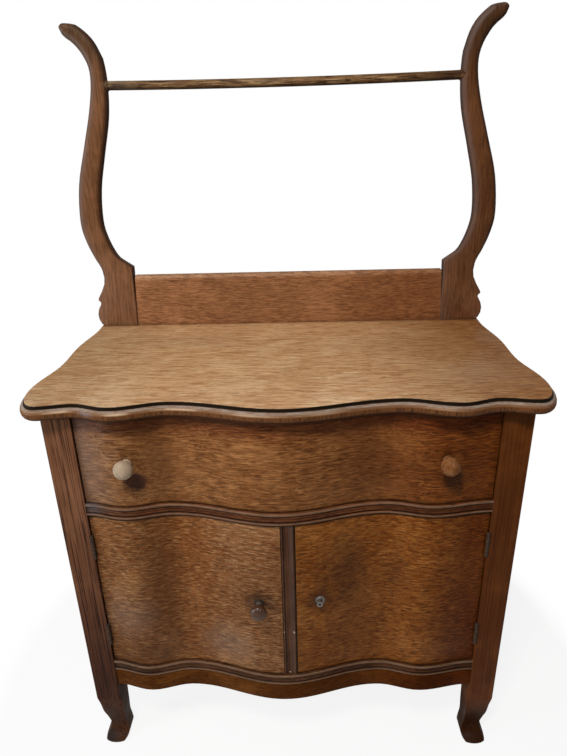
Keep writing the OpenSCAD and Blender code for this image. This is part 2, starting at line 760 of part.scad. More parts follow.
module harp(side) {
  color(dark_oak) on_ground() mirrored(side) difference() {
    skin([for (p = harp_rows) harp_ring(p)]);
    translate([harp_inner(rod_above) - 10, harp_mid_y, top_h + rod_above]) rotate([0, 90, 0])
      cylinder(r = rod_r + fit_gap, h = rod_socket + 10 + fit_gap);
  }
}

module towel_rod() {
  color(oak) on_ground() translate([-rod_half, harp_mid_y, top_h + rod_above]) rotate([0, 90, 0])
    cylinder(r = rod_r, h = 2 * rod_half);
}

// Screws up through the top into the harps and the splashboard
module harp_screws() {
  into = 30;
  y = harp_front_y + splash_setback + splash_t / 2;
  places = [for (reach = harp_screw_reach) harp_foot_x + reach];
  color(steel) on_ground() for (x = concat([0], places, -1 * places))
    translate([x, y, case_top]) wood_screw(2.4, 4.6, top_t + into);
}

// Room in a post for one hinge leaf and for the knuckles
module hinge_mortise(h) {
  r = knuckle_r + 0.4;
  half = hinge_l / 2 + pin_head + slide_gap;
  board([post_inner_x - 1, -1, h - half], [hinge_x + r, hinge_y + r, h + half]);
  board([post_inner_x - 1, -1, h - hinge_l / 2 - fit_gap],
    [post_inner_x + leaf_t + fit_gap / 2, leaf_back_y + fit_gap, h + hinge_l / 2 + fit_gap]);
}

// One leaf with its knuckles: outer pair on the post, middle one on the door
module hinge_leaf(h, on_post) {
  third = hinge_l / 3;
  spans = on_post ? [[-hinge_l / 2, -third / 2 - knuckle_gap / 2], [third / 2 + knuckle_gap / 2, hinge_l / 2]]
    : [[-third / 2 + knuckle_gap / 2, third / 2 - knuckle_gap / 2]];
  x0 = on_post ? post_inner_x : door_outer_x - leaf_t;
  difference() {
    union() {
      for (z = spans) {
        translate([hinge_x, hinge_y, h + z[0]]) cylinder(r = knuckle_r, h = z[1] - z[0], $fn = 32);
        board([x0, hinge_y + leaf_start, h + z[0]],
          [x0 + leaf_t, hinge_y + leaf_start + knuckle_r, h + z[1]]);
      }
      board([x0, hinge_y + knuckle_r + knuckle_gap, h - hinge_l / 2],
        [x0 + leaf_t, leaf_back_y, h + hinge_l / 2]);
    }
    translate([hinge_x, hinge_y, h - hinge_l])
      cylinder(r = hinge_pin_r + turn_gap, h = 2 * hinge_l, $fn = 32);
  }
}

module post_hinge_leaves() {
  color(iron) on_ground() for (s = [-1, 1]) mirrored(s)
    for (h = hinge_heights) hinge_leaf(h, true);
}

module hinge_pins() {
  head_r = hinge_pin_r + 0.9;
  neck = pin_head - fit_gap;
  top = hinge_l + 2 * pin_head;
  color(iron) on_ground() for (s = [-1, 1]) mirrored(s)
    for (h = hinge_heights)
      translate([hinge_x, hinge_y, h - top / 2]) rotate_extrude($fn = 32)
        polygon([
          [0, 0], [head_r, 0], [head_r, neck], [hinge_pin_r, neck],
          [hinge_pin_r, top - neck], [head_r, top - neck], [head_r, top], [0, top]
        ]);
}

// Three screws through each leaf; way is 1 into the post and -1 into the door
module hinge_screws(h, way) {
  face = way > 0 ? post_inner_x : door_outer_x;
  for (z = [-hinge_l / 3, 0, hinge_l / 3])
    translate([face, hinge_y + leaf_start + leaf_w * (z == 0 ? 0.72 : 0.5), h + z]) rotate([0, way * 90, 0])
      wood_screw(1.2, 2.4, 14);
}

module post_hinge_screws() {
  color(steel) on_ground() for (s = [-1, 1]) mirrored(s)
    for (h = hinge_heights) hinge_screws(h, 1);
}

// Drawer front: serpentine face, flat back, sockets for the dovetails at both ends
module drawer_front() {
  color(oak) on_ground() difference() {
    translate([0, 0, drawer_low]) linear_extrude(drawer_high - drawer_low)
      polygon(concat(
        [for (x = steps(-drawer_half, drawer_half, 56)) [x, face_y(x)]],
        [[drawer_half, drawer_back_plane], [-drawer_half, drawer_back_plane]]
      ));
    for (s = [-1, 1]) mirrored(s) {
      tail_row(fit_gap);
      turned(drawer_knob_x, drawer_seat_y(s), knob_h) cylinder(r = knob_base_r + fit_gap, h = 30);
    }
    half = side_out_x - bottom_groove - 2;
    board([-half, drawer_back_plane - bottom_groove - fit_gap, bottom_low - fit_gap],
      [half, drawer_back_plane + 1, bottom_low + drawer_bottom_t + fit_gap]);
  }
}

// The dovetails of one drawer side, wider at their ends, grown by a clearance for the sockets
module tail_row(gap) {
  flare = 2.2;
  for (i = [0 : tails - 1])
    translate([side_out_x - drawer_board_t - gap, drawer_back_plane, side_low + (i + 0.5) * tail_pitch])
      rotate([90, 0, 90]) linear_extrude(drawer_board_t + gap + (gap > 0 ? 4 : 0))
        polygon([
          [0.01, -tail_pitch * 0.3 - gap], [-lap - gap, -tail_pitch * 0.3 - flare - gap],
          [-lap - gap, tail_pitch * 0.3 + flare + gap], [0.01, tail_pitch * 0.3 + gap]
        ]);
}

module drawer_side(side) {
  inner_x = side_out_x - drawer_board_t;
  groove_x = inner_x + bottom_groove + fit_gap;
  color(inner_wood) on_ground() mirrored(side) difference() {
    union() {
      board([inner_x, drawer_back_plane, side_low], [side_out_x, drawer_end_y, side_high]);
      tail_row(0);
    }
    board([inner_x - 1, drawer_back_plane - lap - 1, bottom_low - fit_gap],
      [groove_x, drawer_end_y + 1, bottom_low + drawer_bottom_t + fit_gap]);
    board([inner_x - 1, drawer_back_y - fit_gap, bottom_low + drawer_bottom_t],
      [groove_x, drawer_back_y + drawer_board_t + fit_gap, side_high + 1]);
  }
}

module drawer_back() {
  half = side_out_x - drawer_board_t + bottom_groove;
  color(inner_wood) on_ground()
    board([-half, drawer_back_y, bottom_low + drawer_bottom_t + fit_gap],
      [half, drawer_back_y + drawer_board_t, side_high - 4]);
}

module drawer_bottom() {
  half = side_out_x - drawer_board_t + bottom_groove;
  color(inner_wood) on_ground()
    board([-half, drawer_back_plane - bottom_groove, bottom_low],
      [half, drawer_back_y + drawer_board_t + bottom_lip, bottom_low + drawer_bottom_t]);
}

// Turned wooden knob with a collar at its base and a flattened ball
module drawer_knob(side) {
  r = drawer_knob_r;
  l = drawer_knob_l;
  color(side < 0 ? "#caa470" : "#8f5326") on_ground()
    turned(side * drawer_knob_x, drawer_seat_y(side), knob_h) rotate_extrude($fn = 48)
      polygon(concat(
        [[0, 0], [knob_base_r, 0], [knob_base_r, 2.6], [knob_base_r - 1, 3.8]],
        spline([[6.6, 5.5], [6.4, l * 0.26], [8.6, l * 0.35], [r * 0.86, l * 0.44], [r, l * 0.62],
          [r * 0.86, l * 0.82], [r * 0.45, l * 0.96], [0, l]], 3)
      ));
}

module drawer_knob_screws() {
  color(steel) on_ground() for (s = [-1, 1])
    translate([s * drawer_knob_x, drawer_back_plane, knob_h]) rotate([90, 0, 0])
      wood_screw(2.2, 4.4, drawer_back_plane - drawer_seat_y(s) + 16);
}

// Serpentine door with mortises for its leaves, seats for the catch and the spindle's bore
module door(side) {
  color(oak) on_ground() difference() {
    translate([0, 0, door_low]) linear_extrude(door_high - door_low)
      polygon(curved_board(side < 0 ? -door_outer_x : door_inner_x, side < 0 ? -door_inner_x : door_outer_x,
        face_setback, face_setback + door_t, 30));
    mirrored(side) for (h = hinge_heights)
      board([door_outer_x - leaf_t - fit_gap / 2, -1, h - hinge_l / 2 - fit_gap],
        [door_outer_x + 1, leaf_back_y + fit_gap, h + hinge_l / 2 + fit_gap]);
    turned(side * catch_x, rosette_y(side), catch_h) cylinder(r = rosette_r + fit_gap, h = 30);
    turned(side * catch_x, hub_y(side) - slide_gap + 30, catch_h) cylinder(r = hub_r + slide_gap, h = 30);
    turned(side * catch_x, hub_y(side) + 1, catch_h) cylinder(r = spindle_r + turn_gap, h = door_t + 2);
  }
}

module door_leaves(side) {
  color(iron) on_ground() mirrored(side)
    for (h = hinge_heights) hinge_leaf(h, false);
}

module door_screws(side) {
  color(steel) on_ground() mirrored(side)
    for (h = hinge_heights) hinge_screws(h, -1);
}

// Stepped round plate on the door's face, bored for the spindle
module rosette(side) {
  r = rosette_r;
  color(iron) on_ground() turned(side * catch_x, rosette_y(side), catch_h) difference() {
    rotate_extrude($fn = 48)
      polygon([[0, 0], [r, 0], [r, 0.9], [r - 1.2, 1.5], [r - 3, 1.7], [r - 3.6, rosette_h], [0, rosette_h]]);
    translate([0, 0, -1]) cylinder(r = spindle_r + turn_gap, h = rosette_h + 2);
  }
}

// Length of a spindle behind the rosette's seat, to the tongue's back
function spindle_back(side) = tongue_y + tongue_t - rosette_y(side);

module left_catch_spindle() {
  back = spindle_back(-1);
  collar = back + rosette_h;
  end = back + door_knob_l - knob_wall;
  color(steel) on_ground() turned(-catch_x, rosette_y(-1) + back, catch_h) rotate_extrude($fn = 48)
    polygon([
      [0, 0], [spindle_r, 0], [spindle_r, collar + slide_gap], [spindle_r + 1.8, collar + slide_gap],
      [spindle_r + 1.2, collar + collar_l], [spindle_r - 0.8, collar + collar_l],
      [spindle_r - 0.8, end], [0, end]
    ]);
}

// Turned knob on the spindle's end
module left_catch_knob() {
  r = door_knob_r;
  l = door_knob_l;
  start = rosette_h + collar_l;
  bore_r = spindle_r - 0.8 + fit_gap;
  bore_end = l - knob_wall + fit_gap;
  color(dark_oak) on_ground() turned(-catch_x, rosette_y(-1), catch_h) rotate_extrude($fn = 48)
    polygon(concat(
      [[0, bore_end], [bore_r, bore_end], [bore_r, start + fit_gap], [5.6, start + fit_gap]],
      spline([[6.2, start + 1.6], [9.5, l * 0.46], [r * 0.92, l * 0.56], [r, l * 0.68], [r * 0.9, l * 0.83],
        [r * 0.5, l * 0.96], [0, l]], 3)
    ));
}

// The right catch has lost its knob: a hollow stub with a ring at its end is left
module right_catch_spindle() {
  back = spindle_back(1);
  stub_l = 12;
  color(steel) on_ground() turned(catch_x, rosette_y(1) + back, catch_h) difference() {
    rotate_extrude($fn = 48)
      polygon([
        [0, 0], [spindle_r, 0], [spindle_r, back + rosette_h + slide_gap],
        [spindle_r + 1.8, back + rosette_h + slide_gap], [spindle_r + 1.2, back + stub_l - 2.5],
        [spindle_r + 2.2, back + stub_l - 2], [spindle_r + 2.2, back + stub_l], [0, back + stub_l]
      ]);
    translate([0, 0, back + 2]) cylinder(r = spindle_r - 0.7, h = stub_l);
  }
}

// Iron tongue that hangs from the spindle and turns behind the stile
module catch_tongue(side) {
  hub_l = tongue_y + tongue_t - hub_y(side);
  color(iron) on_ground() turned(side * catch_x, tongue_y + tongue_t, catch_h) difference() {
    union() {
      cylinder(r = hub_r, h = hub_l);
      linear_extrude(tongue_t) {
        translate([-tongue_w / 2, tongue_w / 2 - tongue_l]) square([tongue_w, tongue_l - tongue_w / 2]);
        translate([0, tongue_w / 2 - tongue_l]) circle(tongue_w / 2);
      }
    }
    translate([0, 0, -1]) cylinder(r = spindle_r, h = hub_l + 2);
  }
}

top_board();
front_post(-1);  // left_front_post
front_post(1);  // right_front_post
back_post(-1);  // left_back_post
back_post(1);  // right_back_post
side_rails(-1);  // left_side_rails
side_rails(1);  // right_side_rails
side_panel(-1);  // left_side_panel
side_panel(1);  // right_side_panel
back_rails();
back_boards();
front_top_rail();
mid_rail();
bottom_rail();
apron();
centre_stile();
cupboard_floor();
floor_cleats();
drawer_runners();
drawer_guides();
drawer_kickers();
drawer_stops();
glue_blocks();
top_screws();
splashboard();
harp(-1);  // left_harp
harp(1);  // right_harp
towel_rod();
harp_screws();
post_hinge_leaves();
hinge_pins();
post_hinge_screws();
drawer_front();
drawer_side(-1);  // drawer_left_side
drawer_side(1);  // drawer_right_side
drawer_back();
drawer_bottom();
drawer_knob(-1);  // drawer_left_knob
drawer_knob(1);  // drawer_right_knob
drawer_knob_screws();
door(-1);  // left_door
door_leaves(-1);  // left_door_leaves
door_screws(-1);  // left_door_screws
rosette(-1);  // left_rosette
left_catch_spindle();
left_catch_knob();
catch_tongue(-1);  // left_catch_tongue
door(1);  // right_door
door_leaves(1);  // right_door_leaves
door_screws(1);  // right_door_screws
rosette(1);  // right_rosette
right_catch_spindle();
catch_tongue(1);  // right_catch_tongue
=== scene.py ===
import json
from math import cos, pi, radians, sin

import bmesh
import bpy
from mathutils import Matrix, Vector

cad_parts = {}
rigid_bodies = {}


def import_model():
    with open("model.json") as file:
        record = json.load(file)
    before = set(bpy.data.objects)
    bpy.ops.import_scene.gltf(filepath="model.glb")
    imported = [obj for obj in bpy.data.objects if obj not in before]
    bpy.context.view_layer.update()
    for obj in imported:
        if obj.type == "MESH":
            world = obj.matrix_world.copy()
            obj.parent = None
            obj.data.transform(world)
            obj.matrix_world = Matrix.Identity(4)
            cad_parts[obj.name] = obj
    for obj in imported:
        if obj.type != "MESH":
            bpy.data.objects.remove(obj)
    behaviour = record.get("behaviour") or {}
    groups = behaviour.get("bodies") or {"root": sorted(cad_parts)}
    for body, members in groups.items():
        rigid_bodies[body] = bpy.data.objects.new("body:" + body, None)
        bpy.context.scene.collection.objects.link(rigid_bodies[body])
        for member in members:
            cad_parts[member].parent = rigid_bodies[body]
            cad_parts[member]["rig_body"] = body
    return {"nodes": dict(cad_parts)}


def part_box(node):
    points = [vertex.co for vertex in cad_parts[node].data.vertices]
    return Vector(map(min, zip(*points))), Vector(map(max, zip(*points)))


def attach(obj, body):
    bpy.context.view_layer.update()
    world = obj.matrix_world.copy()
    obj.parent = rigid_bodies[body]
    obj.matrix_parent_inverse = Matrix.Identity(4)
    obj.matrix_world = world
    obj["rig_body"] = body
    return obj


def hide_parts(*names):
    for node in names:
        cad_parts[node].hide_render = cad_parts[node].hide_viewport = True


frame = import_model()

scene = bpy.context.scene
nodes = frame["nodes"]
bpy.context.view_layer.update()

# Planes and places of the washstand, in metres; FRONT_Y is a plane near its curved front
TOP_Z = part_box("top_board")[1].z
FLOOR_Z = 0.0
FRONT_Y = -0.2


def middle(node):
    low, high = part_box(node)
    return (low + high) / 2


LEFT_KNOB = middle("drawer_left_knob")
RIGHT_KNOB = middle("drawer_right_knob")
LEFT_CATCH = middle("left_rosette")
RIGHT_CATCH = middle("right_rosette")


# Photograph's viewpoint: in front, a little below the towel rod's height, looking down at the drawer
EYE = Vector((0.02652, -0.99810, 1.12906))
EYE_TURN = 0.0329
EYE_DIP = 0.3864
EYE_ROLL = -0.0280
FOCAL_PIXELS = 575
PICTURE_HEIGHT = 756
SENSOR_MM = 36


def make_camera():
    ahead = Vector((-sin(EYE_TURN) * cos(EYE_DIP), cos(EYE_TURN) * cos(EYE_DIP), -sin(EYE_DIP)))
    level = Vector((cos(EYE_TURN), sin(EYE_TURN), 0))
    upright = level.cross(ahead)
    right = cos(EYE_ROLL) * level + sin(EYE_ROLL) * upright
    up = cos(EYE_ROLL) * upright - sin(EYE_ROLL) * level
    data = bpy.data.cameras.new("camera")
    data.sensor_width = SENSOR_MM
    data.sensor_fit = "AUTO"
    data.lens = FOCAL_PIXELS / PICTURE_HEIGHT * SENSOR_MM
    data.clip_start = 0.01
    camera = bpy.data.objects.new("camera", data)
    turn = Matrix((right, up, -ahead)).transposed().to_4x4()
    camera.matrix_world = Matrix.Translation(EYE) @ turn
    scene.collection.objects.link(camera)
    scene.camera = camera


# Where the old washstand departs from its plain solids, in metres
FOOT_TOP = 0.125
ANKLE_TOP = 0.09
ANKLE_DROP = 0.020
ANKLE_REACH = 0.0055
TOE_TOP = 0.035
TOE_REACH = 0.0075
TOE_ROUND = 0.006
HEEL_ROUND = 0.005
CALF_LOW = 0.015
CALF_LOW_BLEND = 0.025
CALF_HIGH = 0.085
CALF_HIGH_BLEND = 0.03
CALF_DROP = 0.008
CALF_TUCK = 0.0025
FOOT_X = 0.3645
FOOT_MIDDLE = Vector((FOOT_X, -0.167, 0))
FOOT_HALF = Vector((0.0225, 0.024, 0))
HARP_LOW = 0.80
HARP_LOW_BLEND = 0.08
HARP_HIGH = 1.33
HARP_HIGH_BLEND = 0.06
HARP_FLARE = 0.003
LEFT_TIP_RISE = -0.004
RIGHT_TIP_RISE = 0.005
TIP_REACH = 0.10
TIP_BLEND = 0.12
TIP_LOW = 1.29
TIP_PASSES = 5
ROD_R = 0.0083
ROD_SAG = 0.003
ROD_SOCKET = 0.014
ROD_STEPS = 24
ROD_SIDES = 32

# Shares by which the toe's front and the foot's inner and outer corners are rounded in plan
TOE_NOSE = 0.5
INNER_CORNER = 0.15
OUTER_CORNER = 0.32

# Planes that cut the foot's faces finer before it is bent: (axis, place)
FOOT_CUTS = [(2, z) for z in (0.0015, 0.003, 0.005, 0.0075, 0.0105, 0.014, 0.02, 0.03, 0.04, 0.055, 0.07,
                              0.085)]
FOOT_CUTS += [(0, sign * (FOOT_X + reach)) for sign in (-1, 1)
              for reach in (-0.019, -0.015, -0.008, 0, 0.008, 0.014, 0.018)]
FOOT_CUTS += [(1, y) for y in (-0.189, -0.186, -0.182, -0.176, -0.168, -0.158)]

# Corners closer than MERGE metres become one, and faces that meet at less than FLAT degrees
MERGE = 0.00001
FLAT = 0.3


# Building blocks for shader trees

def put(tree, socket, value):
    """Links a socket or sets its number, vector or colour"""
    if isinstance(value, bpy.types.NodeSocket):
        tree.links.new(value, socket)
    elif socket.type == "RGBA" and len(value) == 3:
        socket.default_value = (*value, 1)
    else:
        socket.default_value = value


def add(tree, kind, inputs=None, **settings):
    made = tree.nodes.new("ShaderNode" + kind)
    for name, value in settings.items():
        setattr(made, name, value)
    for name, value in (inputs or {}).items():
        put(tree, made.inputs[name], value)
    return made


def calc(tree, operation, a, b=0.0, c=0.0, clamp=False):
    made = add(tree, "Math", operation=operation, use_clamp=clamp)
    for socket, value in zip(made.inputs, (a, b, c)):
        put(tree, socket, value)
    return made.outputs[0]


def vector_calc(tree, operation, a, b=(0, 0, 0)):
    made = add(tree, "VectorMath", operation=operation)
    put(tree, made.inputs[0], a)
    put(tree, made.inputs[1], b)
    return made.outputs["Value" if operation in ("DISTANCE", "DOT_PRODUCT") else "Vector"]


def spread(tree, value, low, high, to_low=0.0, to_high=1.0):
    """Maps low..high to to_low..to_high with soft ends"""
    made = add(tree, "MapRange", interpolation_type="SMOOTHSTEP")
    for name, number in (("Value", value), ("From Min", low), ("From Max", high),
                         ("To Min", to_low), ("To Max", to_high)):
        put(tree, made.inputs[name], number)
    return made.outputs["Result"]


# Sockets of the Mix node that are for colours
MIX_SHARE = 0
MIX_A = 6
MIX_B = 7
MIX_RESULT = 2


def mix(tree, share, a, b, blend_type="MIX"):
    made = add(tree, "Mix", data_type="RGBA", blend_type=blend_type)
    put(tree, made.inputs[MIX_SHARE], share)
    put(tree, made.inputs[MIX_A], a)
    put(tree, made.inputs[MIX_B], b)
    return made.outputs[MIX_RESULT]


def noise(tree, vector, scale=1.0, detail=2.0, roughness=0.5, distortion=0.0):
    return add(tree, "TexNoise", {"Vector": vector, "Scale": scale, "Detail": detail,
                                  "Roughness": roughness, "Distortion": distortion})


def new_group(name, inputs, outputs):
    tree = bpy.data.node_groups.new(name, "ShaderNodeTree")
    for title, kind, value in inputs:
        socket = tree.interface.new_socket(title, in_out="INPUT", socket_type="NodeSocket" + kind)
        if value is not None:
            socket.default_value = value
    for title, kind in outputs:
        tree.interface.new_socket(title, in_out="OUTPUT", socket_type="NodeSocket" + kind)
    return tree, tree.nodes.new("NodeGroupInput").outputs, tree.nodes.new("NodeGroupOutput").inputs


def place(tree, group, inputs):
    made = add(tree, "Group", node_tree=group)
    for name, value in inputs.items():
        put(tree, made.inputs[name], value)
    return made.outputs


# Heights in the noise above which a fine line is dark or pale
DARK_LEVEL = 0.55
PALE_LEVEL = 0.565


def make_oak_figure():
    """Oak grain that runs along X: soft tone, fine dark lines, fine pale lines, ray fleck and
    cloudy patches, all 0 to 1"""
    tree, give, take = new_group("oak_figure", [
        ("Vector", "Vector", None), ("Lines", "Float", 480), ("Length", "Float", 0.02),
        ("Through", "Float", 40), ("Bend", "Float", 0.006), ("Bends", "Float", 8.0),
        ("Ripple", "Float", 0.0012), ("Ripples", "Float", 90), ("Soft", "Float", 0.03),
    ], [("Tone", "Float"), ("Dark", "Float"), ("Pale", "Float"), ("Fleck", "Float"), ("Cloud", "Float")])

    def shifted(vector, amount, scale):
        waves = noise(tree, give["Vector"], scale, 1.0, 0.5)
        push = vector_calc(tree, "SUBTRACT", waves.outputs["Color"], (0.5, 0.5, 0.5))
        reach = add(tree, "CombineXYZ")
        for axis in range(3):
            put(tree, reach.inputs[axis], amount)
        return vector_calc(tree, "ADD", vector, vector_calc(tree, "MULTIPLY", push, reach.outputs[0]))

    bent = shifted(shifted(give["Vector"], give["Bend"], give["Bends"]), give["Ripple"], give["Ripples"])
    along = calc(tree, "DIVIDE", 1.0, give["Length"])

    def stretched(along_share, across_share, start=(0, 0, 0)):
        scale = add(tree, "CombineXYZ")
        put(tree, scale.inputs[0], calc(tree, "MULTIPLY", along, along_share))
        put(tree, scale.inputs[1], give["Through"])
        put(tree, scale.inputs[2], calc(tree, "MULTIPLY", give["Lines"], across_share))
        return vector_calc(tree, "ADD", vector_calc(tree, "MULTIPLY", bent, scale.outputs[0]), start)

    fine = noise(tree, stretched(0.6, 0.5), 1.0, 3.0, 0.6)
    broad = noise(tree, stretched(0.15, 0.09), 1.0, 2.0, 0.5)
    tone = calc(tree, "ADD", calc(tree, "MULTIPLY", fine.outputs[0], 0.75),
                calc(tree, "MULTIPLY", broad.outputs[0], 0.25))
    put(tree, take["Tone"], spread(tree, tone, 0.36, 0.64))
    dark = noise(tree, stretched(1.0, 1.0, (3.7, 0, 1.3)), 1.0, 2.0, 0.65)
    put(tree, take["Dark"], spread(tree, dark.outputs[0], calc(tree, "SUBTRACT", DARK_LEVEL, give["Soft"]),
                                   calc(tree, "ADD", DARK_LEVEL, give["Soft"])))
    pale = noise(tree, stretched(0.7, 1.0, (9.1, 0, 5.9)), 1.0, 2.0, 0.65)
    put(tree, take["Pale"], spread(tree, pale.outputs[0], calc(tree, "SUBTRACT", PALE_LEVEL, give["Soft"]),
                                   calc(tree, "ADD", PALE_LEVEL, give["Soft"])))
    ribbon = noise(tree, stretched(0.8, 0.14, (2.2, 0, 7.7)), 1.0, 1.0, 0.4, 1.2)
    near = calc(tree, "ABSOLUTE", calc(tree, "SUBTRACT", ribbon.outputs[0], 0.5))
    patch = noise(tree, give["Vector"], 12.0, 1.0, 0.5)
    put(tree, take["Fleck"], calc(tree, "MULTIPLY", spread(tree, near, 0.035, 0.0),
                                  spread(tree, patch.outputs[0], 0.50, 0.62)))
    cloud = noise(tree, give["Vector"], 9.0, 4.0, 0.62)
    put(tree, take["Cloud"], spread(tree, cloud.outputs[0], 0.32, 0.68))
    return tree


def make_wear_dirt_and_shade():
    """Where edges are rubbed, and where dirt settles and painted shade falls in corners and between parts,
    both 0 to 1
    """
    tree, give, take = new_group("wear_dirt_and_shade", [
        ("Vector", "Vector", None), ("Edge", "Float", 0.002), ("Corner", "Float", 0.018),
    ], [("Rubbed", "Float"), ("Grime_and_shade", "Float")])
    inward = add(tree, "AmbientOcclusion", {"Distance": give["Edge"]}, samples=6, inside=True)
    broken = noise(tree, give["Vector"], 60.0, 3.0, 0.65)
    edge = calc(tree, "SUBTRACT", 1.0, inward.outputs["AO"])
    uneven = spread(tree, broken.outputs[0], 0.35, 0.65, 0.25, 1.0)
    put(tree, take["Rubbed"], calc(tree, "MULTIPLY", spread(tree, edge, 0.12, 0.55), uneven))
    # Dirt and painted shade together: how closely other surfaces close in on each point
    outward = add(tree, "AmbientOcclusion", {"Distance": give["Corner"]}, samples=6)
    shut = calc(tree, "SUBTRACT", 1.0, outward.outputs["AO"])
    put(tree, take["Grime_and_shade"], spread(tree, shut, 0.25, 0.8))
    return tree


def make_spot():
    """A patch with a ragged rim about a place on the piece, 1 in its middle"""
    tree, give, take = new_group("spot", [
        ("Vector", "Vector", None), ("Place", "Vector", (0, 0, 0)), ("Stretch", "Vector", (1, 1, 1)),
        ("Inner", "Float", 0.01), ("Outer", "Float", 0.03), ("Ragged", "Float", 0.01),
    ], [("Mask", "Float")])
    rough = noise(tree, give["Vector"], 45.0, 3.0, 0.6)
    shift = calc(tree, "MULTIPLY", calc(tree, "SUBTRACT", rough.outputs[0], 0.5), give["Ragged"])
    reach = vector_calc(tree, "SUBTRACT", give["Vector"], give["Place"])
    reach = vector_calc(tree, "DISTANCE", vector_calc(tree, "MULTIPLY", reach, give["Stretch"]))
    put(tree, take["Mask"], spread(tree, calc(tree, "ADD", reach, shift), give["Outer"], give["Inner"]))
    return tree


def make_band():
    """A level band between two heights, 1 inside it; Broken tears it into pieces along its length"""
    tree, give, take = new_group("band", [
        ("Vector", "Vector", None), ("Low", "Float", 0.0), ("High", "Float", 0.01),
        ("Soft", "Float", 0.0004), ("Broken", "Float", 0.0),
    ], [("Mask", "Float")])
    height = add(tree, "SeparateXYZ", {"Vector": give["Vector"]}).outputs["Z"]
    above = spread(tree, height, calc(tree, "SUBTRACT", give["Low"], give["Soft"]),
                   calc(tree, "ADD", give["Low"], give["Soft"]))
    below = spread(tree, height, calc(tree, "ADD", give["High"], give["Soft"]),
                   calc(tree, "SUBTRACT", give["High"], give["Soft"]))
    torn = noise(tree, vector_calc(tree, "MULTIPLY", give["Vector"], (55, 55, 420)), 1.0, 4.0, 0.7)
    left = spread(tree, torn.outputs[0], 0.42, 0.56)
    gone = calc(tree, "SUBTRACT", 1.0, left)
    kept = calc(tree, "SUBTRACT", 1.0, calc(tree, "MULTIPLY", give["Broken"], gone))
    put(tree, take["Mask"], calc(tree, "MULTIPLY", calc(tree, "MULTIPLY", above, below), kept))
    return tree


OAK_FIGURE = make_oak_figure()
WEAR_DIRT_AND_SHADE = make_wear_dirt_and_shade()
SPOT = make_spot()
BAND = make_band()

# Turns that bring a board's grain on to X, named for its direction; the top's lies flat
GRAIN_X = (0, 0, 0)
GRAIN_Y = (0, 0, radians(-90))
GRAIN_Z = (0, radians(90), 0)
GRAIN_TOP = (radians(90), 0, 0)


# Depth of open grain and of rust in metres, and the tick marks' repeats a metre on each axis
GRAIN_RELIEF = 0.0001
RUST_RELIEF = 0.0002
TICKS = (620, 620, 45)

# Colours of dirt and wear, and of painted shadow and shade
# Dirt, and also painted shadow and shade on the drawer
DIRT_AND_SHADE = (0.030, 0.012, 0.006)
# Mostly painted shade on the slopes of the curved front that turn from the window
RUDDY = (0.062, 0.018, 0.004)
# Painted shade in openings between parts and in quirks
GAP_SHADE = (0.008, 0.004, 0.002)
HAZE = (0.21, 0.155, 0.125)
CHALKY = (0.42, 0.34, 0.29)
RUST = (0.12, 0.055, 0.025)
# Soot, and painted shade in the metal's corners
SOOT_AND_SHADE = (0.02, 0.015, 0.01)

# How distances count on each axis for stained patches and for painted light and shade: FRONTAL hardly heeds
# depth,
# DOT not at all, and UPRIGHT runs the piece's whole height
ROUND = (1, 1, 1)
FRONTAL = (1, 0.1, 1)
UPRIGHT = (1, 0, 0)
DOT = (1, 0, 1)


def new_material(name):
    made = bpy.data.materials.new(name)
    made.use_nodes = True
    tree = made.node_tree
    shader = tree.nodes["Principled BSDF"]
    return made, tree, shader


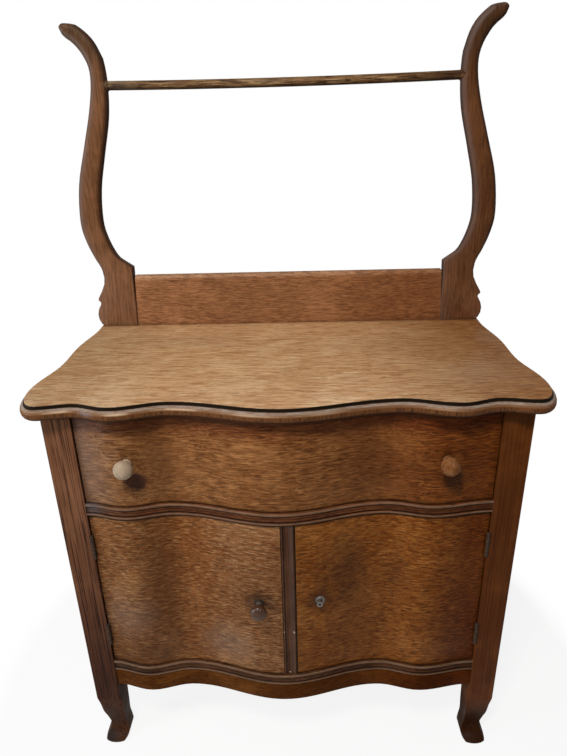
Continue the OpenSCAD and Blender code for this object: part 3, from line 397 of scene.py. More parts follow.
def oak(name, dark, mild, light, turn=GRAIN_X, offset=(0, 0, 0), figure=None, lines=0.65, glints=0.3,
        glint_colour=None, fleck=0.0, cloud=0.4, rubbed=0.5, rubbed_colour=None, grime_and_shade=0.8, edge=0.002,
        corner=0.018, gloss=(0.38, 0.56), shine=0.07, washes=(), stains_and_light=(), bands=(), ticks=(),
        cracks=(), lit_and_shaded_sides=()):
    """Stained and varnished oak. washes are (axis, none here, full here, colour) and multiply, and some
    are painted light and shade; stains are (place, inner, outer, strength, colour, stretch), stained
    patches as well as painted shadows, shade, highlights and sheen; bands are (lowest z, highest z,
    strength, colour, broken), some of them painted shade and highlights; ticks are (lowest z, highest z,
    strength, colour), fine upright marks between two heights; cracks are (middle, across, side, width),
    thin dark lines where a plane through the middle cuts one side; sides are (way, none here, full here,
    strength, colour) and paint light and shade on what faces that way."""
    made, tree, shader = new_material(name)
    here = add(tree, "TexCoord").outputs["Object"]
    turned = add(tree, "Mapping", {"Vector": here, "Rotation": turn, "Location": offset}).outputs[0]
    wood = place(tree, OAK_FIGURE, {"Vector": turned, **(figure or {})})
    wear_dirt_and_shade = place(tree, WEAR_DIRT_AND_SHADE, {"Vector": here, "Edge": edge, "Corner": corner})
    pale = glint_colour or tuple(min(1, c * 1.5) for c in light)
    colour = mix(tree, wood["Tone"], mild, light)
    colour = mix(tree, calc(tree, "MULTIPLY", wood["Pale"], glints), colour, pale)
    colour = mix(tree, calc(tree, "MULTIPLY", wood["Dark"], lines), colour, dark)
    if fleck:
        colour = mix(tree, calc(tree, "MULTIPLY", wood["Fleck"], fleck), colour, pale)
    dim = calc(tree, "MULTIPLY", calc(tree, "SUBTRACT", 1.0, wood["Cloud"]), cloud)
    colour = mix(tree, dim, colour, tuple((a + b) / 2 for a, b in zip(dark, mild)))
    glow = calc(tree, "MULTIPLY", spread(tree, wood["Cloud"], 0.55, 1.0), cloud * 0.6)
    colour = mix(tree, glow, colour, pale)
    at = add(tree, "SeparateXYZ", {"Vector": here}).outputs
    # Washes, some of them painted light and shade
    for axis, none, full, wash in washes:
        share = spread(tree, at[axis], none, full)
        colour = mix(tree, share, colour, mix(tree, 1.0, colour, wash, "MULTIPLY"))
    # Bands, some of them painted shade and highlights
    for low, high, strength, band_colour, broken in bands:
        mask = place(tree, BAND, {"Vector": here, "Low": low, "High": high, "Broken": broken})["Mask"]
        uneven = spread(tree, wood["Tone"], 0.0, 1.0, 0.75 * strength, strength) if broken else strength
        colour = mix(tree, calc(tree, "MULTIPLY", mask, uneven), colour, band_colour)
    # Stained patches, and painted shadows, shade, highlights and sheen
    for stain_and_light_at, inner, outer, strength, stain_and_light_colour, stretch in stains_and_light:
        mask = place(tree, SPOT, {"Vector": here, "Place": stain_and_light_at, "Inner": inner, "Outer": outer,
                                  "Ragged": outer * 0.8, "Stretch": stretch})["Mask"]
        colour = mix(tree, calc(tree, "MULTIPLY", mask, strength), colour, stain_and_light_colour)
    for low, high, strength, tick_colour in ticks:
        mask = place(tree, BAND, {"Vector": here, "Low": low, "High": high, "Soft": 0.0015})["Mask"]
        pricks = noise(tree, vector_calc(tree, "MULTIPLY", here, TICKS), 1.0, 2.0, 0.6)
        upright = calc(tree, "MULTIPLY", spread(tree, pricks.outputs[0], 0.48, 0.62), strength)
        colour = mix(tree, calc(tree, "MULTIPLY", mask, upright), colour, tick_colour)
    for centre, across, side, width in cracks:
        reach = vector_calc(tree, "SUBTRACT", here, centre)
        wander = calc(tree, "MULTIPLY", calc(tree, "SUBTRACT", wood["Cloud"], 0.5), 0.002)
        distance = vector_calc(tree, "DOT_PRODUCT", reach, across)
        off = calc(tree, "ABSOLUTE", calc(tree, "ADD", distance, wander))
        mask = calc(tree, "MULTIPLY", spread(tree, off, width, width * 0.4),
                    spread(tree, vector_calc(tree, "DOT_PRODUCT", reach, side), 0.0, 0.002))
        colour = mix(tree, calc(tree, "MULTIPLY", mask, 0.8), colour, dark)
    # Dirt that settles, and painted shade, in corners and between parts
    colour = mix(tree, calc(tree, "MULTIPLY", wear_dirt_and_shade["Grime_and_shade"], grime_and_shade), colour, tuple(c * 0.4 for c in dark))
    colour = mix(tree, calc(tree, "MULTIPLY", wear_dirt_and_shade["Rubbed"], rubbed), colour, rubbed_colour or pale)
    # Painted light and shade by the way each face turns
    for way, none, full, strength, side_colour in lit_and_shaded_sides:
        facing = vector_calc(tree, "DOT_PRODUCT", add(tree, "TexCoord").outputs["Normal"], way)
        share = calc(tree, "MULTIPLY", spread(tree, facing, none, full), strength)
        colour = mix(tree, share, colour, side_colour)
    put(tree, shader.inputs["Base Color"], colour)
    put(tree, shader.inputs["Roughness"], spread(tree, wood["Cloud"], 0.0, 1.0, gloss[1], gloss[0]))
    pits = calc(tree, "SUBTRACT", calc(tree, "MULTIPLY", wood["Tone"], 0.4), wood["Dark"])
    bump = add(tree, "Bump", {"Height": pits, "Strength": 0.5, "Distance": GRAIN_RELIEF})
    put(tree, shader.inputs["Normal"], bump.outputs["Normal"])
    shader.inputs["Specular IOR Level"].default_value = shine
    return made


def metal(name, base, worn, rough, metallic=1.0, shine=0.5):
    """Old iron or steel with rust bloom, rubbed bright on its edges"""
    made, tree, shader = new_material(name)
    here = add(tree, "TexCoord").outputs["Object"]
    wear_dirt_and_shade = place(tree, WEAR_DIRT_AND_SHADE, {"Vector": here, "Edge": 0.0008, "Corner": 0.004})
    bloom = noise(tree, here, 420.0, 4.0, 0.65)
    rust = spread(tree, bloom.outputs[0], 0.45, 0.7)
    colour = mix(tree, rust, base, RUST)
    colour = mix(tree, wear_dirt_and_shade["Rubbed"], colour, worn)
    # Soot and painted shade in corners
    colour = mix(tree, calc(tree, "MULTIPLY", wear_dirt_and_shade["Grime_and_shade"], 0.7), colour, SOOT_AND_SHADE)
    put(tree, shader.inputs["Base Color"], colour)
    clean = calc(tree, "SUBTRACT", 1.0, rust)
    put(tree, shader.inputs["Metallic"], calc(tree, "MULTIPLY", clean, metallic))
    put(tree, shader.inputs["Roughness"], spread(tree, bloom.outputs[0], 0.2, 0.8, rough[0], rough[1]))
    shader.inputs["Specular IOR Level"].default_value = shine
    bump = add(tree, "Bump", {"Height": bloom.outputs[0], "Strength": 0.4, "Distance": RUST_RELIEF})
    put(tree, shader.inputs["Normal"], bump.outputs["Normal"])
    return made


def front_stain_and_light(x, z, reach, strength, colour, flatness=1):
    """A soft patch on the washstand's front, used for stained patches, dust, and painted shade and sheen;
    above 1, flatness makes it low and wide, below 1 tall
    """
    return Vector((x, FRONT_Y, z)), 0.0, reach, strength, colour, (1, 0.1, flatness)


def front_materials(made):
    """Drawer front and doors: fine level grain, and painted shade that makes them darker and redder to the
    right
    """
    fine = {"Lines": 480, "Length": 0.012, "Through": 60, "Bend": 0.010, "Bends": 9, "Ripple": 0.0030,
            "Ripples": 55, "Soft": 0.08}
    # Painted shade: darker and redder towards the right, away from the window
    redder = (0, -0.05, 0.36, (0.64, 0.40, 0.14))
    drawer_low, drawer_high = (corner.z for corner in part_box("drawer_front"))
    door_low, door_high = (corner.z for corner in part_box("left_door"))
    knob_shadow = Vector((0.010, 0.02, -0.035))
    made["drawer"] = oak(
        "drawer_oak", (0.042, 0.013, 0.003), (0.175, 0.058, 0.014), (0.27, 0.104, 0.031),
        figure={**fine, "Lines": 500, "Length": 0.017, "Ripple": 0.002},
        lines=0.68, glints=0.75, glint_colour=(0.44, 0.20, 0.070), fleck=0.6, cloud=0.3,
        # Washes: painted shade to the right, a painted bluish sheen at the left end, painted shadow under
        # the top's overhang, and darker at the right end
        washes=[redder, (0, -0.20, -0.34, (0.98, 1.13, 1.42)),
                (2, drawer_high - 0.050, drawer_high - 0.012, (0.62, 0.46, 0.43)),
                (0, 0.24, 0.34, (0.90, 0.92, 0.90))],
        # Painted shade on the slopes turned from the window, a painted greyish sheen at the left end, and
        # painted shadows of the two knobs
        stains_and_light=[front_stain_and_light(-0.212, 0.66, 0.055, 0.45, RUDDY, 0.3),
                front_stain_and_light(0.14, 0.64, 0.10, 0.35, RUDDY, 0.6),
                front_stain_and_light(-0.345, 0.66, 0.085, 0.4, (0.20, 0.14, 0.12), 0.45),
                (LEFT_KNOB + knob_shadow, 0.010, 0.023, 0.9, (0.040, 0.013, 0.009), FRONTAL),
                (RIGHT_KNOB + knob_shadow + Vector((0.006, 0, 0)), 0.006, 0.035, 0.6, DIRT_AND_SHADE, FRONTAL)],
        # Painted shadow under the top's overhang, and painted shade along the drawer's bottom edge above
        # the mid rail
        bands=[(drawer_high - 0.010, drawer_high, 0.5, DIRT_AND_SHADE, 0.0),
               (drawer_low, drawer_low + 0.0015, 0.8, GAP_SHADE, 0.0)])
    # Painted shade along the doors' top edges under the rail's bead, and along their bottom edges
    edge_shade_bands = [(door_high - 0.002, door_high, 0.85, GAP_SHADE, 0.0), (door_low, door_low + 0.002, 0.6, GAP_SHADE, 0.0)]
    made["left_door"] = oak(
        "left_door_oak", (0.036, 0.012, 0.003), (0.146, 0.048, 0.0115), (0.222, 0.083, 0.025),
        offset=(0.7, 0.2, 0.4), figure=fine, lines=0.72, glints=0.85, glint_colour=(0.38, 0.195, 0.080),
        fleck=0.45, cloud=0.3,
        # The second wash is a painted bluish sheen near the stile
        washes=[(0, -0.26, -0.19, (1.10, 1.01, 0.88)), (0, -0.17, -0.09, (0.98, 1.10, 1.40))],
        # Dirt about the catch, painted shade on the slope turned from the window, a darker patch at the
        # bottom left, and dust
        stains_and_light=[(LEFT_CATCH, 0.012, 0.040, 0.65, DIRT_AND_SHADE, ROUND),
                front_stain_and_light(-0.228, 0.40, 0.060, 0.5, RUDDY, 0.2),
                front_stain_and_light(-0.27, 0.235, 0.11, 0.5, RUDDY, 1.4),
                front_stain_and_light(-0.30, 0.33, 0.08, 0.25, HAZE),
                front_stain_and_light(-0.12, 0.27, 0.07, 0.30, HAZE)],
        bands=edge_shade_bands)
    made["right_door"] = oak(
        "right_door_oak", (0.034, 0.008, 0.001), (0.157, 0.043, 0.006), (0.250, 0.086, 0.015),
        offset=(1.7, 0.5, 1.3), figure=fine, lines=0.72, glints=0.8, glint_colour=(0.36, 0.160, 0.042),
        fleck=0.3, cloud=0.3,
        # The last wash is painted shade, darker and redder towards the right
        washes=[(0, 0.0, 0.05, (0.98, 0.90, 0.80)), (0, 0.08, 0.19, (1.13, 1.15, 1.16)),
                (0, 0.20, 0.33, (0.44, 0.31, 0.18))],
        # The first is painted shade on the slope turned from the window; the others are dirt
        stains_and_light=[front_stain_and_light(0.13, 0.37, 0.10, 0.35, RUDDY, 0.4),
                front_stain_and_light(0.10, 0.44, 0.055, 0.5, DIRT_AND_SHADE, 0.5),
                (RIGHT_CATCH, 0.010, 0.035, 0.5, DIRT_AND_SHADE, ROUND),
                front_stain_and_light(0.19, 0.42, 0.03, 0.3, DIRT_AND_SHADE, 0.4)],
        bands=edge_shade_bands)
    # The apron's wash is painted shade, darker and redder towards the right
    made["apron"] = oak("apron_oak", (0.026, 0.007, 0.001), (0.078, 0.021, 0.003), (0.12, 0.040, 0.007),
                        figure=fine, offset=(0.2, 0.9, 0.1), cloud=0.5, washes=[redder], shine=0.02)


def frame_materials(made):
    """Posts, rails, stile, side and back of the case"""
    straight = {"Lines": 400, "Length": 0.20, "Through": 400, "Bend": 0.003, "Bends": 4, "Ripple": 0.0003}
    darker_low = (2, 0.62, 0.15, (0.335, 0.23, 0.165))
    # Lighter and bluer low on the left post's foot: a painted sheen
    foot = (2, 0.12, 0.07, (1.20, 1.5, 1.7))
    # Darker patches at the left foot's toe, the lower one where it meets the floor
    foot_dark_patches = [
        (Vector((-0.375, -0.19, 0.045)), 0.015, 0.05, 0.65, (0.048, 0.027, 0.019), ROUND),
        (Vector((-0.38, -0.19, 0.0)), 0.010, 0.028, 0.7, (0.020, 0.016, 0.015), ROUND)]
    made["left_post"] = oak("left_post_oak", (0.020, 0.007, 0.004), (0.135, 0.050, 0.021),
                            (0.19, 0.080, 0.038), turn=GRAIN_Z, figure=straight, lines=0.9, glints=0.35,
                            cloud=0.25, rubbed=0.3, washes=[darker_low, foot], stains_and_light=foot_dark_patches)
    made["right_post"] = oak("right_post_oak", (0.028, 0.007, 0.001), (0.080, 0.020, 0.003),
                             (0.113, 0.032, 0.005), turn=GRAIN_Z, figure=straight, offset=(0.4, 0.3, 0.9),
                             lines=0.4, glints=0.15, cloud=0.4, rubbed=0.3,
                             washes=[(2, 0.62, 0.2, (1.03, 1.0, 0.98)),
                                     (2, 0.13, 0.05, (0.33, 0.35, 0.38))])
    made["back_post"] = oak("back_post_oak", (0.028, 0.009, 0.004), (0.11, 0.040, 0.016),
                            (0.17, 0.070, 0.030), turn=GRAIN_Z, figure=straight, offset=(1.1, 0.6, 0.2),
                            lines=0.7, glints=0.2, cloud=0.35, rubbed=0.3)
    made["side_rail"] = oak("side_rail_oak", (0.036, 0.012, 0.005), (0.12, 0.045, 0.017),
                            (0.19, 0.080, 0.034), turn=GRAIN_Y, figure=straight)
    made["side_panel"] = oak("side_panel_oak", (0.036, 0.012, 0.005), (0.13, 0.050, 0.018),
                             (0.22, 0.095, 0.037), turn=GRAIN_Z, fleck=0.3, cloud=0.5,
                             figure={"Lines": 300, "Length": 0.06, "Through": 300, "Bend": 0.03,
                                     "Bends": 5})
    crest = (0.25, 0.150, 0.092)
    # Bands on the rails' mouldings: the pale ones are wear and a painted highlight on the beads' crests,
    # the dark ones painted shade in the quirks and along each rail's lower edge
    bands = []
    for high in (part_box("mid_rail")[1].z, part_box("bottom_rail")[1].z):
        bands += [(high - under, high - over, strength, colour, broken)
                  for under, over, strength, colour, broken in (
                      (0.0048, 0.0006, 0.65, crest, 0.35), (0.0076, 0.0060, 0.9, GAP_SHADE, 0.0),
                      (0.0128, 0.0121, 0.8, GAP_SHADE, 0.0), (0.0186, 0.0173, 0.9, GAP_SHADE, 0.0),
                      (0.0224, 0.0193, 0.6, crest, 0.35), (0.0250, 0.0233, 0.9, GAP_SHADE, 0.0))]
    made["rail"] = oak("rail_oak", (0.018, 0.006, 0.002), (0.092, 0.029, 0.010), (0.145, 0.050, 0.018),
                       figure={"Lines": 420, "Length": 0.03, "Through": 300, "Bend": 0.002}, lines=0.6,
                       rubbed=0.5, rubbed_colour=crest, corner=0.006,
                       # Washes: painted shade to the right, a painted bluish sheen at the left end, and
                       # darker and bluer low down
                       washes=[(0, 0.0, 0.36, (0.8, 0.7, 0.55)), (0, -0.25, -0.34, (0.8, 1.0, 1.35)),
                               (2, 0.5, 0.25, (0.70, 0.80, 0.90))],
                       bands=bands,
                       # A chalky mark, and a painted greyish sheen at the mid rail's left end
                       stains_and_light=[(Vector((0.3315, 0, 0.5913)), 0.001, 0.003, 0.8, CHALKY, DOT),
                               (Vector((-0.335, 0, 0.572)), 0.004, 0.030, 0.5, (0.10, 0.09, 0.10), DOT)])
    # The dark lines are painted shade beside the stile and in its quirk; the two lighter ones run along its
    # bead and its right half
    bead_lines = [(Vector((x, 0, 0)), inner, outer, strength, colour, UPRIGHT)
                  for x, inner, outer, strength, colour in (
                      (-0.0152, 0.0003, 0.0016, 0.8, GAP_SHADE),
                      (-0.0118, 0.0002, 0.0018, 0.6, (0.21, 0.110, 0.072)),
                      (-0.0081, 0.0004, 0.0018, 0.85, GAP_SHADE),
                      (0.0046, 0.0010, 0.0042, 0.55, (0.082, 0.054, 0.046)),
                      (0.0114, 0.0011, 0.0026, 0.9, GAP_SHADE))]
    nail_heads = [(Vector((x, 0, z)), 0.0010, 0.0024, 0.9, CHALKY, DOT)
                  for x, z in ((-0.0116, 0.3156), (0.0071, 0.3146), (-0.0020, 0.2175))]
    made["stile"] = oak("stile_oak", (0.018, 0.007, 0.004), (0.062, 0.023, 0.010), (0.095, 0.039, 0.018),
                        turn=GRAIN_Z, figure=straight, lines=0.6, rubbed=0.6,
                        rubbed_colour=(0.20, 0.11, 0.065), corner=0.006,
                        stains_and_light=bead_lines + nail_heads)


def top_materials(made):
    """Worn golden top, splashboard, harps and rod"""
    # Painted highlights on the nose's crest, strongest at the left
    nose_highlights = [(Vector((x, FRONT_Y, TOP_Z - 0.0102)), 0.0, reach, strength, (0.66, 0.47, 0.31),
               (1, 0, reach / 0.0026))
              for x, reach, strength in ((-0.352, 0.030, 0.75), (-0.256, 0.026, 0.8), (-0.163, 0.055, 0.7),
                                         (-0.05, 0.07, 0.5), (0.06, 0.05, 0.3), (0.24, 0.04, 0.25))]
    made["top"] = oak(
        "top_oak", (0.31, 0.135, 0.046), (0.53, 0.282, 0.124), (0.68, 0.405, 0.198),
        figure={"Lines": 470, "Length": 0.026, "Through": 40, "Bend": 0.003, "Bends": 4, "Ripple": 0.0006},
        turn=GRAIN_TOP, lines=0.8, glints=0.75, glint_colour=(0.80, 0.56, 0.32), cloud=0.27,
        rubbed=0.25, rubbed_colour=(0.45, 0.27, 0.14), grime_and_shade=0.7, corner=0.03,
        # Washes: painted shade to the right, darker towards the left end, and a painted bluish sheen
        # towards the front
        washes=[(0, 0.10, 0.42, (0.50, 0.37, 0.25)), (0, -0.15, -0.40, (0.82, 0.83, 0.83)),
                (1, -0.06, -0.22, (1.08, 1.13, 1.24))],
        stains_and_light=nose_highlights + [
            (Vector((-0.307, FRONT_Y, TOP_Z - 0.0125)), 0.0, 0.020, 0.5, (0.20, 0.20, 0.22), (1, 0, 3)),
            (Vector((0.30, -0.1, TOP_Z)), 0.0, 0.10, 0.12, (0.60, 0.46, 0.34), ROUND),
            (Vector((0.165, -0.105, TOP_Z)), 0.0015, 0.006, 0.6, (0.16, 0.075, 0.035), ROUND),
            (Vector((0.21, 0.06, TOP_Z)), 0.0, 0.14, 0.30, (0.30, 0.150, 0.060), (0.7, 1.6, 1)),
            (Vector((-0.20, 0.10, TOP_Z)), 0.0, 0.12, 0.25, (0.36, 0.215, 0.120), (0.6, 1.8, 1))],
        # Bands on the nose: brown below the flat, a broken golden band of wear and painted highlight on the
        # crest, a near-black band in the quirk, a painted greyish reflection of the window on the upper
        # slope, and painted shade on the underside
        bands=[(0, TOP_Z - 0.0006, 1.0, (0.150, 0.056, 0.018), 0.0),
               (TOP_Z - 0.0120, TOP_Z - 0.0056, 0.7, (0.24, 0.130, 0.066), 0.5),
               (TOP_Z - 0.0057, TOP_Z - 0.0003, 0.98, (0.007, 0.005, 0.003), 0.0),
               (TOP_Z - 0.0086, TOP_Z - 0.0057, 0.8, (0.33, 0.27, 0.225), 0.5),
               (0, TOP_Z - 0.0200, 0.8, (0.030, 0.012, 0.005), 0.0)],
        ticks=[(TOP_Z - 0.022, TOP_Z - 0.0125, 0.7, (0.030, 0.010, 0.004))])
    made["splash"] = oak(
        "splash_oak", (0.078, 0.027, 0.010), (0.238, 0.096, 0.038), (0.345, 0.155, 0.067),
        offset=(0.3, 1.1, 0.8), cloud=0.3, rubbed=0.4, rubbed_colour=(0.33, 0.18, 0.09),
        figure={"Lines": 640, "Length": 0.016, "Through": 120, "Bend": 0.006, "Ripple": 0.0008,
                "Soft": 0.09}, lines=0.66, glints=0.5,
        # A painted highlight along the splashboard's rounded top edge, and painted shade to the right
        washes=[(2, 0.862, 0.872, (1.35, 1.6, 2.0)), (0, 0.0, 0.28, (0.84, 0.74, 0.64))])
    smooth = {"Lines": 600, "Length": 0.05, "Through": 600, "Bend": 0.02, "Bends": 3, "Ripple": 0.0004}
    # Painted shade where the face turns right, away from the window, a painted greyish sheen where it turns
    # a little left, and painted shade where it turns fully left
    harp_sides = [((1, 0, 0), 0.05, 0.8, 0.75, (0.026, 0.013, 0.009)),
                  ((-1, 0, 0), 0.02, 0.25, 0.42, (0.142, 0.100, 0.085)),
                  ((-1, 0, 0), 0.50, 0.95, 0.80, (0.048, 0.032, 0.026))]
    # The right harp's copy is painted darker and redder as shade away from the window, the left's a touch
    # bluer as the window's light
    for side, tint in (("left", (1, 1.01, 1.05)), ("right", (0.70, 0.62, 0.56))):
        colours = [tuple(a * b for a, b in zip(colour, tint)) for colour in (
            (0.042, 0.016, 0.006), (0.132, 0.052, 0.018), (0.185, 0.079, 0.034))]
        made[side + "_harp"] = oak(side + "_harp_oak", *colours, turn=GRAIN_Z, figure=smooth, lines=0.50,
                                   glints=0.2, cloud=0.35, rubbed=0.2, lit_and_shaded_sides=harp_sides, gloss=(0.34, 0.48),
                                   washes=[(2, 1.22, 1.34, (0.62, 0.72, 0.80)),
                                           (2, 1.0, 0.84, (1.38, 1.48, 1.70))])
    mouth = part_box("towel_rod")[1].x - ROD_SOCKET + HARP_FLARE
    rod_ends = [(0, -0.24, -0.33, (0.8, 0.9, 1.1)), (0, 0.20, 0.33, (0.42, 0.36, 0.34))]
    rod_ends += [(0, 0.003 - mouth, -mouth, (0.45, 0.37, 0.34)), (0, mouth - 0.003, mouth, (1.7, 1.7, 1.8))]
    made["rod"] = oak("rod_oak", (0.026, 0.011, 0.005), (0.120, 0.056, 0.022), (0.22, 0.118, 0.050),
                      figure={"Lines": 330, "Length": 0.045, "Through": 330, "Bend": 0.010, "Bends": 9,
                              "Ripple": 0.0006},
                      glint_colour=(0.42, 0.27, 0.13), lines=0.85, glints=0.65, cloud=0.3,
                      # Painted shade on the rod's underside
                      lit_and_shaded_sides=[((0, 0, -1), 0.2, 0.9, 0.7, (0.020, 0.009, 0.005))],
                      gloss=(0.34, 0.48), washes=rod_ends)


def small_materials(made):
    """Raw wood inside, knobs and metal"""
    plain = {"Lines": 320, "Length": 0.06, "Through": 320, "Bend": 0.006}
    raw = dict(figure=plain, lines=0.5, glints=0.2, cloud=0.4, rubbed=0.2, grime_and_shade=0.9, gloss=(0.62, 0.8))
    pale = ((0.16, 0.095, 0.045), (0.31, 0.200, 0.105), (0.41, 0.280, 0.160))
    made["inner_x"] = oak("inner_wood_x", *pale, **raw)
    made["inner_y"] = oak("inner_wood_y", *pale, turn=GRAIN_Y, **raw)
    made["inner_z"] = oak("inner_wood_z", *pale, turn=GRAIN_Z, **raw)
    turned = {"Lines": 700, "Length": 0.02, "Through": 700, "Bend": 0.001, "Ripple": 0.0002}
    knob_crack = (LEFT_KNOB - Vector((0.0045, 0, 0.003)), (0.85, 0, 0.53), (-0.4, -1, -0.2), 0.001)
    made["pale_knob"] = oak("pale_knob_wood", (0.24, 0.16, 0.10), (0.36, 0.26, 0.175), (0.44, 0.33, 0.23),
                            turn=GRAIN_Y, figure=turned, lines=0.25, glints=0.1, cloud=0.25, rubbed=0.1,
                            gloss=(0.5, 0.65), cracks=[knob_crack])
    made["brown_knob"] = oak("brown_knob_wood", (0.04, 0.012, 0.003), (0.15, 0.045, 0.010),
                             (0.25, 0.085, 0.020), turn=GRAIN_Y, figure=turned, lines=0.5, cloud=0.5,
                             glint_colour=(0.45, 0.27, 0.14), rubbed=0.5, edge=0.004, gloss=(0.28, 0.42))
    made["dark_knob"] = oak("dark_knob_wood", (0.020, 0.008, 0.004), (0.060, 0.025, 0.012),
                            (0.095, 0.042, 0.021), turn=GRAIN_Y, figure=turned, lines=0.4, cloud=0.3,
                            rubbed=0.2, gloss=(0.16, 0.28), shine=0.35)
    made["iron"] = metal("old_iron", (0.030, 0.021, 0.015), (0.12, 0.085, 0.06), (0.55, 0.8), 0.1, 0.15)
    made["rosette"] = metal("rosette_metal", (0.20, 0.19, 0.18), (0.45, 0.42, 0.38), (0.35, 0.6), 0.9)
    made["steel"] = metal("tarnished_steel", (0.42, 0.40, 0.37), (0.6, 0.58, 0.54), (0.22, 0.5))


def make_materials():
    made = {}
    for part in (front_materials, frame_materials, top_materials, small_materials):
        part(made)
    return made


# Which finish each part of the washstand has
FINISHES = {
    "top": ["top_board"],
    "left_post": ["left_front_post"],
    "right_post": ["right_front_post"],
    "back_post": ["left_back_post", "right_back_post"],
    "side_rail": ["left_side_rails", "right_side_rails"],
    "side_panel": ["left_side_panel", "right_side_panel"],
    "rail": ["mid_rail", "bottom_rail"],
    "apron": ["apron"],
    "stile": ["centre_stile"],
    "splash": ["splashboard"],
    "left_harp": ["left_harp"],
    "right_harp": ["right_harp"],
    "drawer": ["drawer_front"],
    "left_door": ["left_door"],
    "right_door": ["right_door"],
    "pale_knob": ["drawer_left_knob"],
    "brown_knob": ["drawer_right_knob"],
    "dark_knob": ["left_catch_knob"],
    "inner_x": ["back_rails", "front_top_rail", "cupboard_floor", "drawer_stops", "drawer_back"],
    "inner_y": ["floor_cleats", "drawer_runners", "drawer_guides", "drawer_kickers", "glue_blocks",
                "drawer_left_side", "drawer_right_side", "drawer_bottom"],
    "inner_z": ["back_boards"],
    "iron": ["post_hinge_leaves", "hinge_pins", "left_door_leaves", "right_door_leaves",
             "left_catch_tongue", "right_catch_tongue", "left_rosette"],
    "rosette": ["right_rosette", "right_catch_spindle"],
    "steel": ["top_screws", "harp_screws", "post_hinge_screws", "drawer_knob_screws",
              "left_door_screws", "right_door_screws", "left_catch_spindle"],
}

# Parts whose edges are softened, with the width of the softening in metres, and the angle under
# which a corner is a curve
SOFT_EDGES = {
    "top_board": (0, 35), "mid_rail": (0, 40), "bottom_rail": (0, 40), "left_harp": (0, 50),
    "right_harp": (0, 50), "apron": (0.0008, 30), "drawer_front": (0.0009, 30),
    "left_door": (0.0009, 30), "right_door": (0.0009, 30), "left_front_post": (0.0012, 30),
    "right_front_post": (0.0012, 30), "left_back_post": (0.001, 30), "right_back_post": (0.001, 30),
    "centre_stile": (0, 40), "splashboard": (0, 30), "drawer_left_knob": (0, 50),
    "drawer_right_knob": (0, 50), "left_catch_knob": (0, 50), "left_rosette": (0, 40),
    "right_rosette": (0, 40), "left_catch_spindle": (0, 40), "right_catch_spindle": (0, 40),
    "drawer_left_side": (0.0005, 30), "drawer_right_side": (0.0005, 30),
    "post_hinge_leaves": (0, 40), "left_door_leaves": (0, 40), "right_door_leaves": (0, 40),
    "hinge_pins": (0, 40),
}


def ease(share):
    share = min(1, max(0, share))
    return share * share * (3 - 2 * share)


def rounding(z, radius):
    """How far a rounded lower corner stands back at a height above the floor"""
    lack = max(0, radius - z)
    return radius - (radius ** 2 - lack ** 2) ** 0.5


def bend_foot(place):
    """Puts the ankle lower and further out, rounds the toe and brings it further forward"""
    if place.z < FOOT_TOP:
        side = 1 if place.x > 0 else -1
        toe = max(0, 1 - place.z / TOE_TOP)
        across = (side * place.x - FOOT_MIDDLE.x) / FOOT_HALF.x
        along = (place.y - FOOT_MIDDLE.y) / FOOT_HALF.y
        front = min(0, along)
        corner = INNER_CORNER if across < 0 else OUTER_CORNER
        place.x += side * FOOT_HALF.x * across * ((1 - corner * toe * front ** 2) ** 0.5 - 1)
        if front:
            place.y += FOOT_HALF.y * along * ((1 - TOE_NOSE * toe * min(1, across ** 2)) ** 0.5 - 1)
            place.y += rounding(place.z, TOE_ROUND)
        if across < 0:
            calf = ease((place.z - CALF_LOW) / CALF_LOW_BLEND)
            calf *= ease((CALF_HIGH - place.z) / CALF_HIGH_BLEND)
            place.x += side * min(1, -across) * (CALF_TUCK * calf + rounding(place.z, HEEL_ROUND))
        else:
            place.x -= side * min(1, across) * rounding(place.z, TOE_ROUND)
        drop = ANKLE_DROP + CALF_DROP * min(1, max(0, -across))
        place.z -= drop * sin(pi * place.z / FOOT_TOP)
        place.x += side * ANKLE_REACH * sin(pi * min(1, place.z / ANKLE_TOP))
        place.y -= TOE_REACH * toe ** 2


def bend_harp(place, rise):
    """Flares the bow outwards and sets the tip at its own height"""
    side = 1 if place.x > 0 else -1
    flare = ease((place.z - HARP_LOW) / HARP_LOW_BLEND) * ease((HARP_HIGH - place.z) / HARP_HIGH_BLEND)
    place.x += side * HARP_FLARE * flare
    place.z += rise * ease((place.z - HARP_HIGH + TIP_REACH) / TIP_BLEND)


RESHAPED = {
    "left_front_post": bend_foot,
    "right_front_post": bend_foot,
    "left_harp": lambda place: bend_harp(place, LEFT_TIP_RISE),
    "right_harp": lambda place: bend_harp(place, RIGHT_TIP_RISE),
}


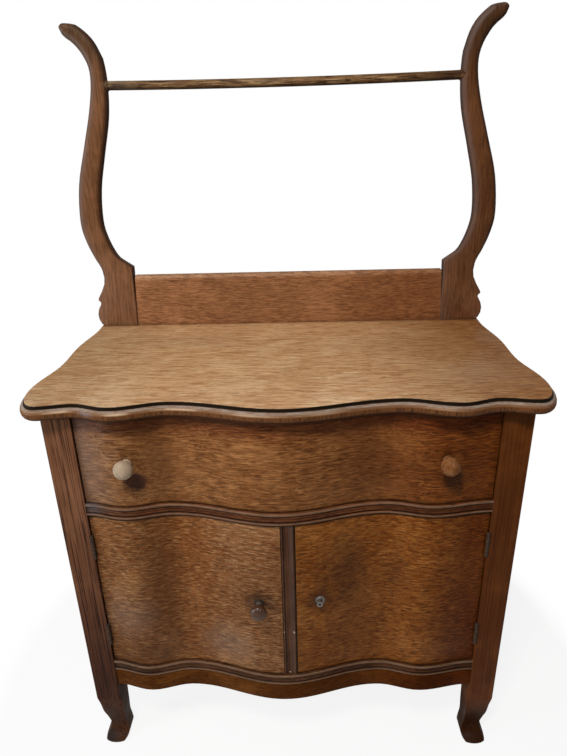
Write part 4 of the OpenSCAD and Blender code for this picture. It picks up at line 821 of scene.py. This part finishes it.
def soften(node, width, curve_angle):
    """A copy of a part with joined corners, rounded edges and smooth curves, which stands for it"""
    mesh = nodes[node].data.copy()
    if "custom_normal" in mesh.attributes:
        mesh.attributes.remove(mesh.attributes["custom_normal"])
    piece = bpy.data.objects.new(node + "_finished", mesh)
    scene.collection.objects.link(piece)
    work = bmesh.new()
    work.from_mesh(mesh)
    bmesh.ops.remove_doubles(work, verts=work.verts, dist=MERGE)
    if width:
        bmesh.ops.dissolve_limit(work, angle_limit=radians(FLAT), verts=work.verts, edges=work.edges)
        corners = [e for e in work.edges
                   if len(e.link_faces) == 2 and e.calc_face_angle() > radians(curve_angle)]
        bmesh.ops.bevel(work, geom=corners, offset=width, offset_type="OFFSET", affect="EDGES",
                        segments=3, profile=0.5, material=-1, clamp_overlap=True)
    if RESHAPED.get(node) is bend_foot:
        # Read afresh, the mesh is cut in the same order each run
        work.to_mesh(mesh)
        work.clear()
        work.from_mesh(mesh)
        for axis, at in FOOT_CUTS:
            across = Vector((0, 0, 0))
            across[axis] = 1
            low = [f for f in work.faces if min(v.co.z for v in f.verts) < FOOT_TOP]
            edges = list(dict.fromkeys(e for f in low for e in f.edges))
            ends = list(dict.fromkeys(v for f in low for v in f.verts))
            bmesh.ops.bisect_plane(work, geom=ends + edges + low, dist=MERGE,
                                   plane_co=across * at, plane_no=across)
    if node in RESHAPED:
        for vertex in work.verts:
            RESHAPED[node](vertex.co)
        tip = [v for v in work.verts if v.co.z > TIP_LOW]
        for _ in range(TIP_PASSES):
            bmesh.ops.smooth_vert(work, verts=tip, factor=0.5, use_axis_x=True, use_axis_z=True)
    work.to_mesh(mesh)
    work.free()
    return stand_in(piece, node, curve_angle)


def stand_in(piece, node, curve_angle):
    for face in piece.data.polygons:
        face.use_smooth = True
    piece.data.set_sharp_from_angle(angle=radians(curve_angle))
    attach(piece, nodes[node]["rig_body"])
    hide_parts(node)
    return piece


def make_rod(materials):
    """The towel rod, bowed a little with the years, with thicker ends let into the harps"""
    low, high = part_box("towel_rod")
    centre = (low + high) / 2
    end_r = (high.z - low.z) / 2
    mouth = high.x - ROD_SOCKET + HARP_FLARE
    stations = [(-high.x, end_r), (-mouth, end_r)]
    stations += [(mouth * (2 * step / ROD_STEPS - 1), ROD_R) for step in range(ROD_STEPS + 1)]
    stations += [(mouth, end_r), (high.x, end_r)]
    mesh = bpy.data.meshes.new("towel_rod_finished")
    piece = bpy.data.objects.new("towel_rod_finished", mesh)
    scene.collection.objects.link(piece)
    work = bmesh.new()
    rings = []
    for x, r in stations:
        drop = ROD_SAG * max(0, 1 - (x / mouth) ** 2)
        turn = Matrix.Translation((x, centre.y, centre.z - drop)) @ Matrix.Rotation(radians(90), 4, "Y")
        rings.append(bmesh.ops.create_circle(work, segments=ROD_SIDES, radius=r, matrix=turn)["verts"])
    for near, far in zip(rings, rings[1:]):
        for k in range(ROD_SIDES):
            following = (k + 1) % ROD_SIDES
            work.faces.new((near[k], near[following], far[following], far[k]))
    work.faces.new(rings[0])
    work.faces.new(rings[-1])
    bmesh.ops.recalc_face_normals(work, faces=work.faces)
    work.to_mesh(mesh)
    work.free()
    mesh.materials.append(materials["rod"])
    stand_in(piece, "towel_rod", 30)


def finish_parts(materials):
    for finish, names in FINISHES.items():
        for node in names:
            piece = soften(node, *SOFT_EDGES[node]) if node in SOFT_EDGES else nodes[node]
            piece.data.materials.clear()
            piece.data.materials.append(materials[finish])


# Floor, lamps and surroundings. The floor turns white between two distances from the middle, in
# metres, and is nearly white before that; the room's own light is weak
FLOOR_HALF = 12
FADE_START = 0.36
FADE_END = 0.72
NEARLY_WHITE = 0.87
ROOM_LIGHT = 0.17
GLOSSY_SHARE = 0.28


def make_floor():
    """Pale floor that fades to white away from the washstand, and keeps its shadow"""
    mesh = bpy.data.meshes.new("floor")
    work = bmesh.new()
    bmesh.ops.create_grid(work, x_segments=2, y_segments=2, size=FLOOR_HALF)
    work.to_mesh(mesh)
    work.free()
    floor = bpy.data.objects.new("floor", mesh)
    floor.location.z = FLOOR_Z
    scene.collection.objects.link(floor)
    made, tree, shader = new_material("pale_floor")
    shader.inputs["Base Color"].default_value = (0.88, 0.88, 0.87, 1)
    shader.inputs["Roughness"].default_value = 0.9
    here = add(tree, "TexCoord").outputs["Object"]
    away = vector_calc(tree, "DISTANCE", here)
    ray = add(tree, "LightPath").outputs
    glow = add(tree, "Emission", {"Color": (1, 1, 1), "Strength": 1.0})
    white = calc(tree, "MAXIMUM", spread(tree, away, FADE_START, FADE_END), NEARLY_WHITE)
    far = calc(tree, "MULTIPLY", white, ray["Is Camera Ray"])
    joined = add(tree, "MixShader", {"Fac": far})
    put(tree, joined.inputs[1], shader.outputs["BSDF"])
    put(tree, joined.inputs[2], glow.outputs[0])
    put(tree, tree.nodes["Material Output"].inputs["Surface"], joined.outputs[0])
    mesh.materials.append(made)


def make_world():
    world = bpy.data.worlds.new("studio")
    world.use_nodes = True
    scene.world = world
    tree = world.node_tree
    tree.nodes.clear()
    ray = add(tree, "LightPath").outputs
    soft = add(tree, "Background", {"Color": (0.95, 0.97, 1.0), "Strength": ROOM_LIGHT})
    white = add(tree, "Background", {"Color": (1, 1, 1), "Strength": 1.0})
    glossy = calc(tree, "MULTIPLY", ray["Is Glossy Ray"], GLOSSY_SHARE)
    seen = calc(tree, "ADD", ray["Is Camera Ray"], glossy)
    seen = calc(tree, "ADD", seen, ray["Is Transmission Ray"], clamp=True)
    joined = add(tree, "MixShader", {"Fac": seen})
    put(tree, joined.inputs[1], soft.outputs[0])
    put(tree, joined.inputs[2], white.outputs[0])
    out = add(tree, "OutputWorld")
    put(tree, out.inputs["Surface"], joined.outputs[0])


LAMPS = [
    # name, place, aim, size, power, colour
    ("ceiling_lamp", (-0.45, -1.5, 2.85), (0, 0, 0.7), 0.4, 50, (1.0, 0.96, 0.91)),
    ("window_lamp", (-2.4, -1.05, 1.05), (0, 0, 0.55), 0.9, 34, (0.82, 0.91, 1.0)),
]


def make_lamps():
    for name, at, aim, size, power, colour in LAMPS:
        data = bpy.data.lights.new(name, "AREA")
        data.size = size
        data.energy = power
        data.color = colour
        lamp = bpy.data.objects.new(name, data)
        lamp.location = at
        lamp.rotation_euler = (Vector(aim) - Vector(at)).to_track_quat("-Z", "Y").to_euler()
        scene.collection.objects.link(lamp)


make_camera()
materials = make_materials()
finish_parts(materials)
make_rod(materials)
make_floor()
make_world()
make_lamps()
scene.view_settings.view_transform = "Standard"
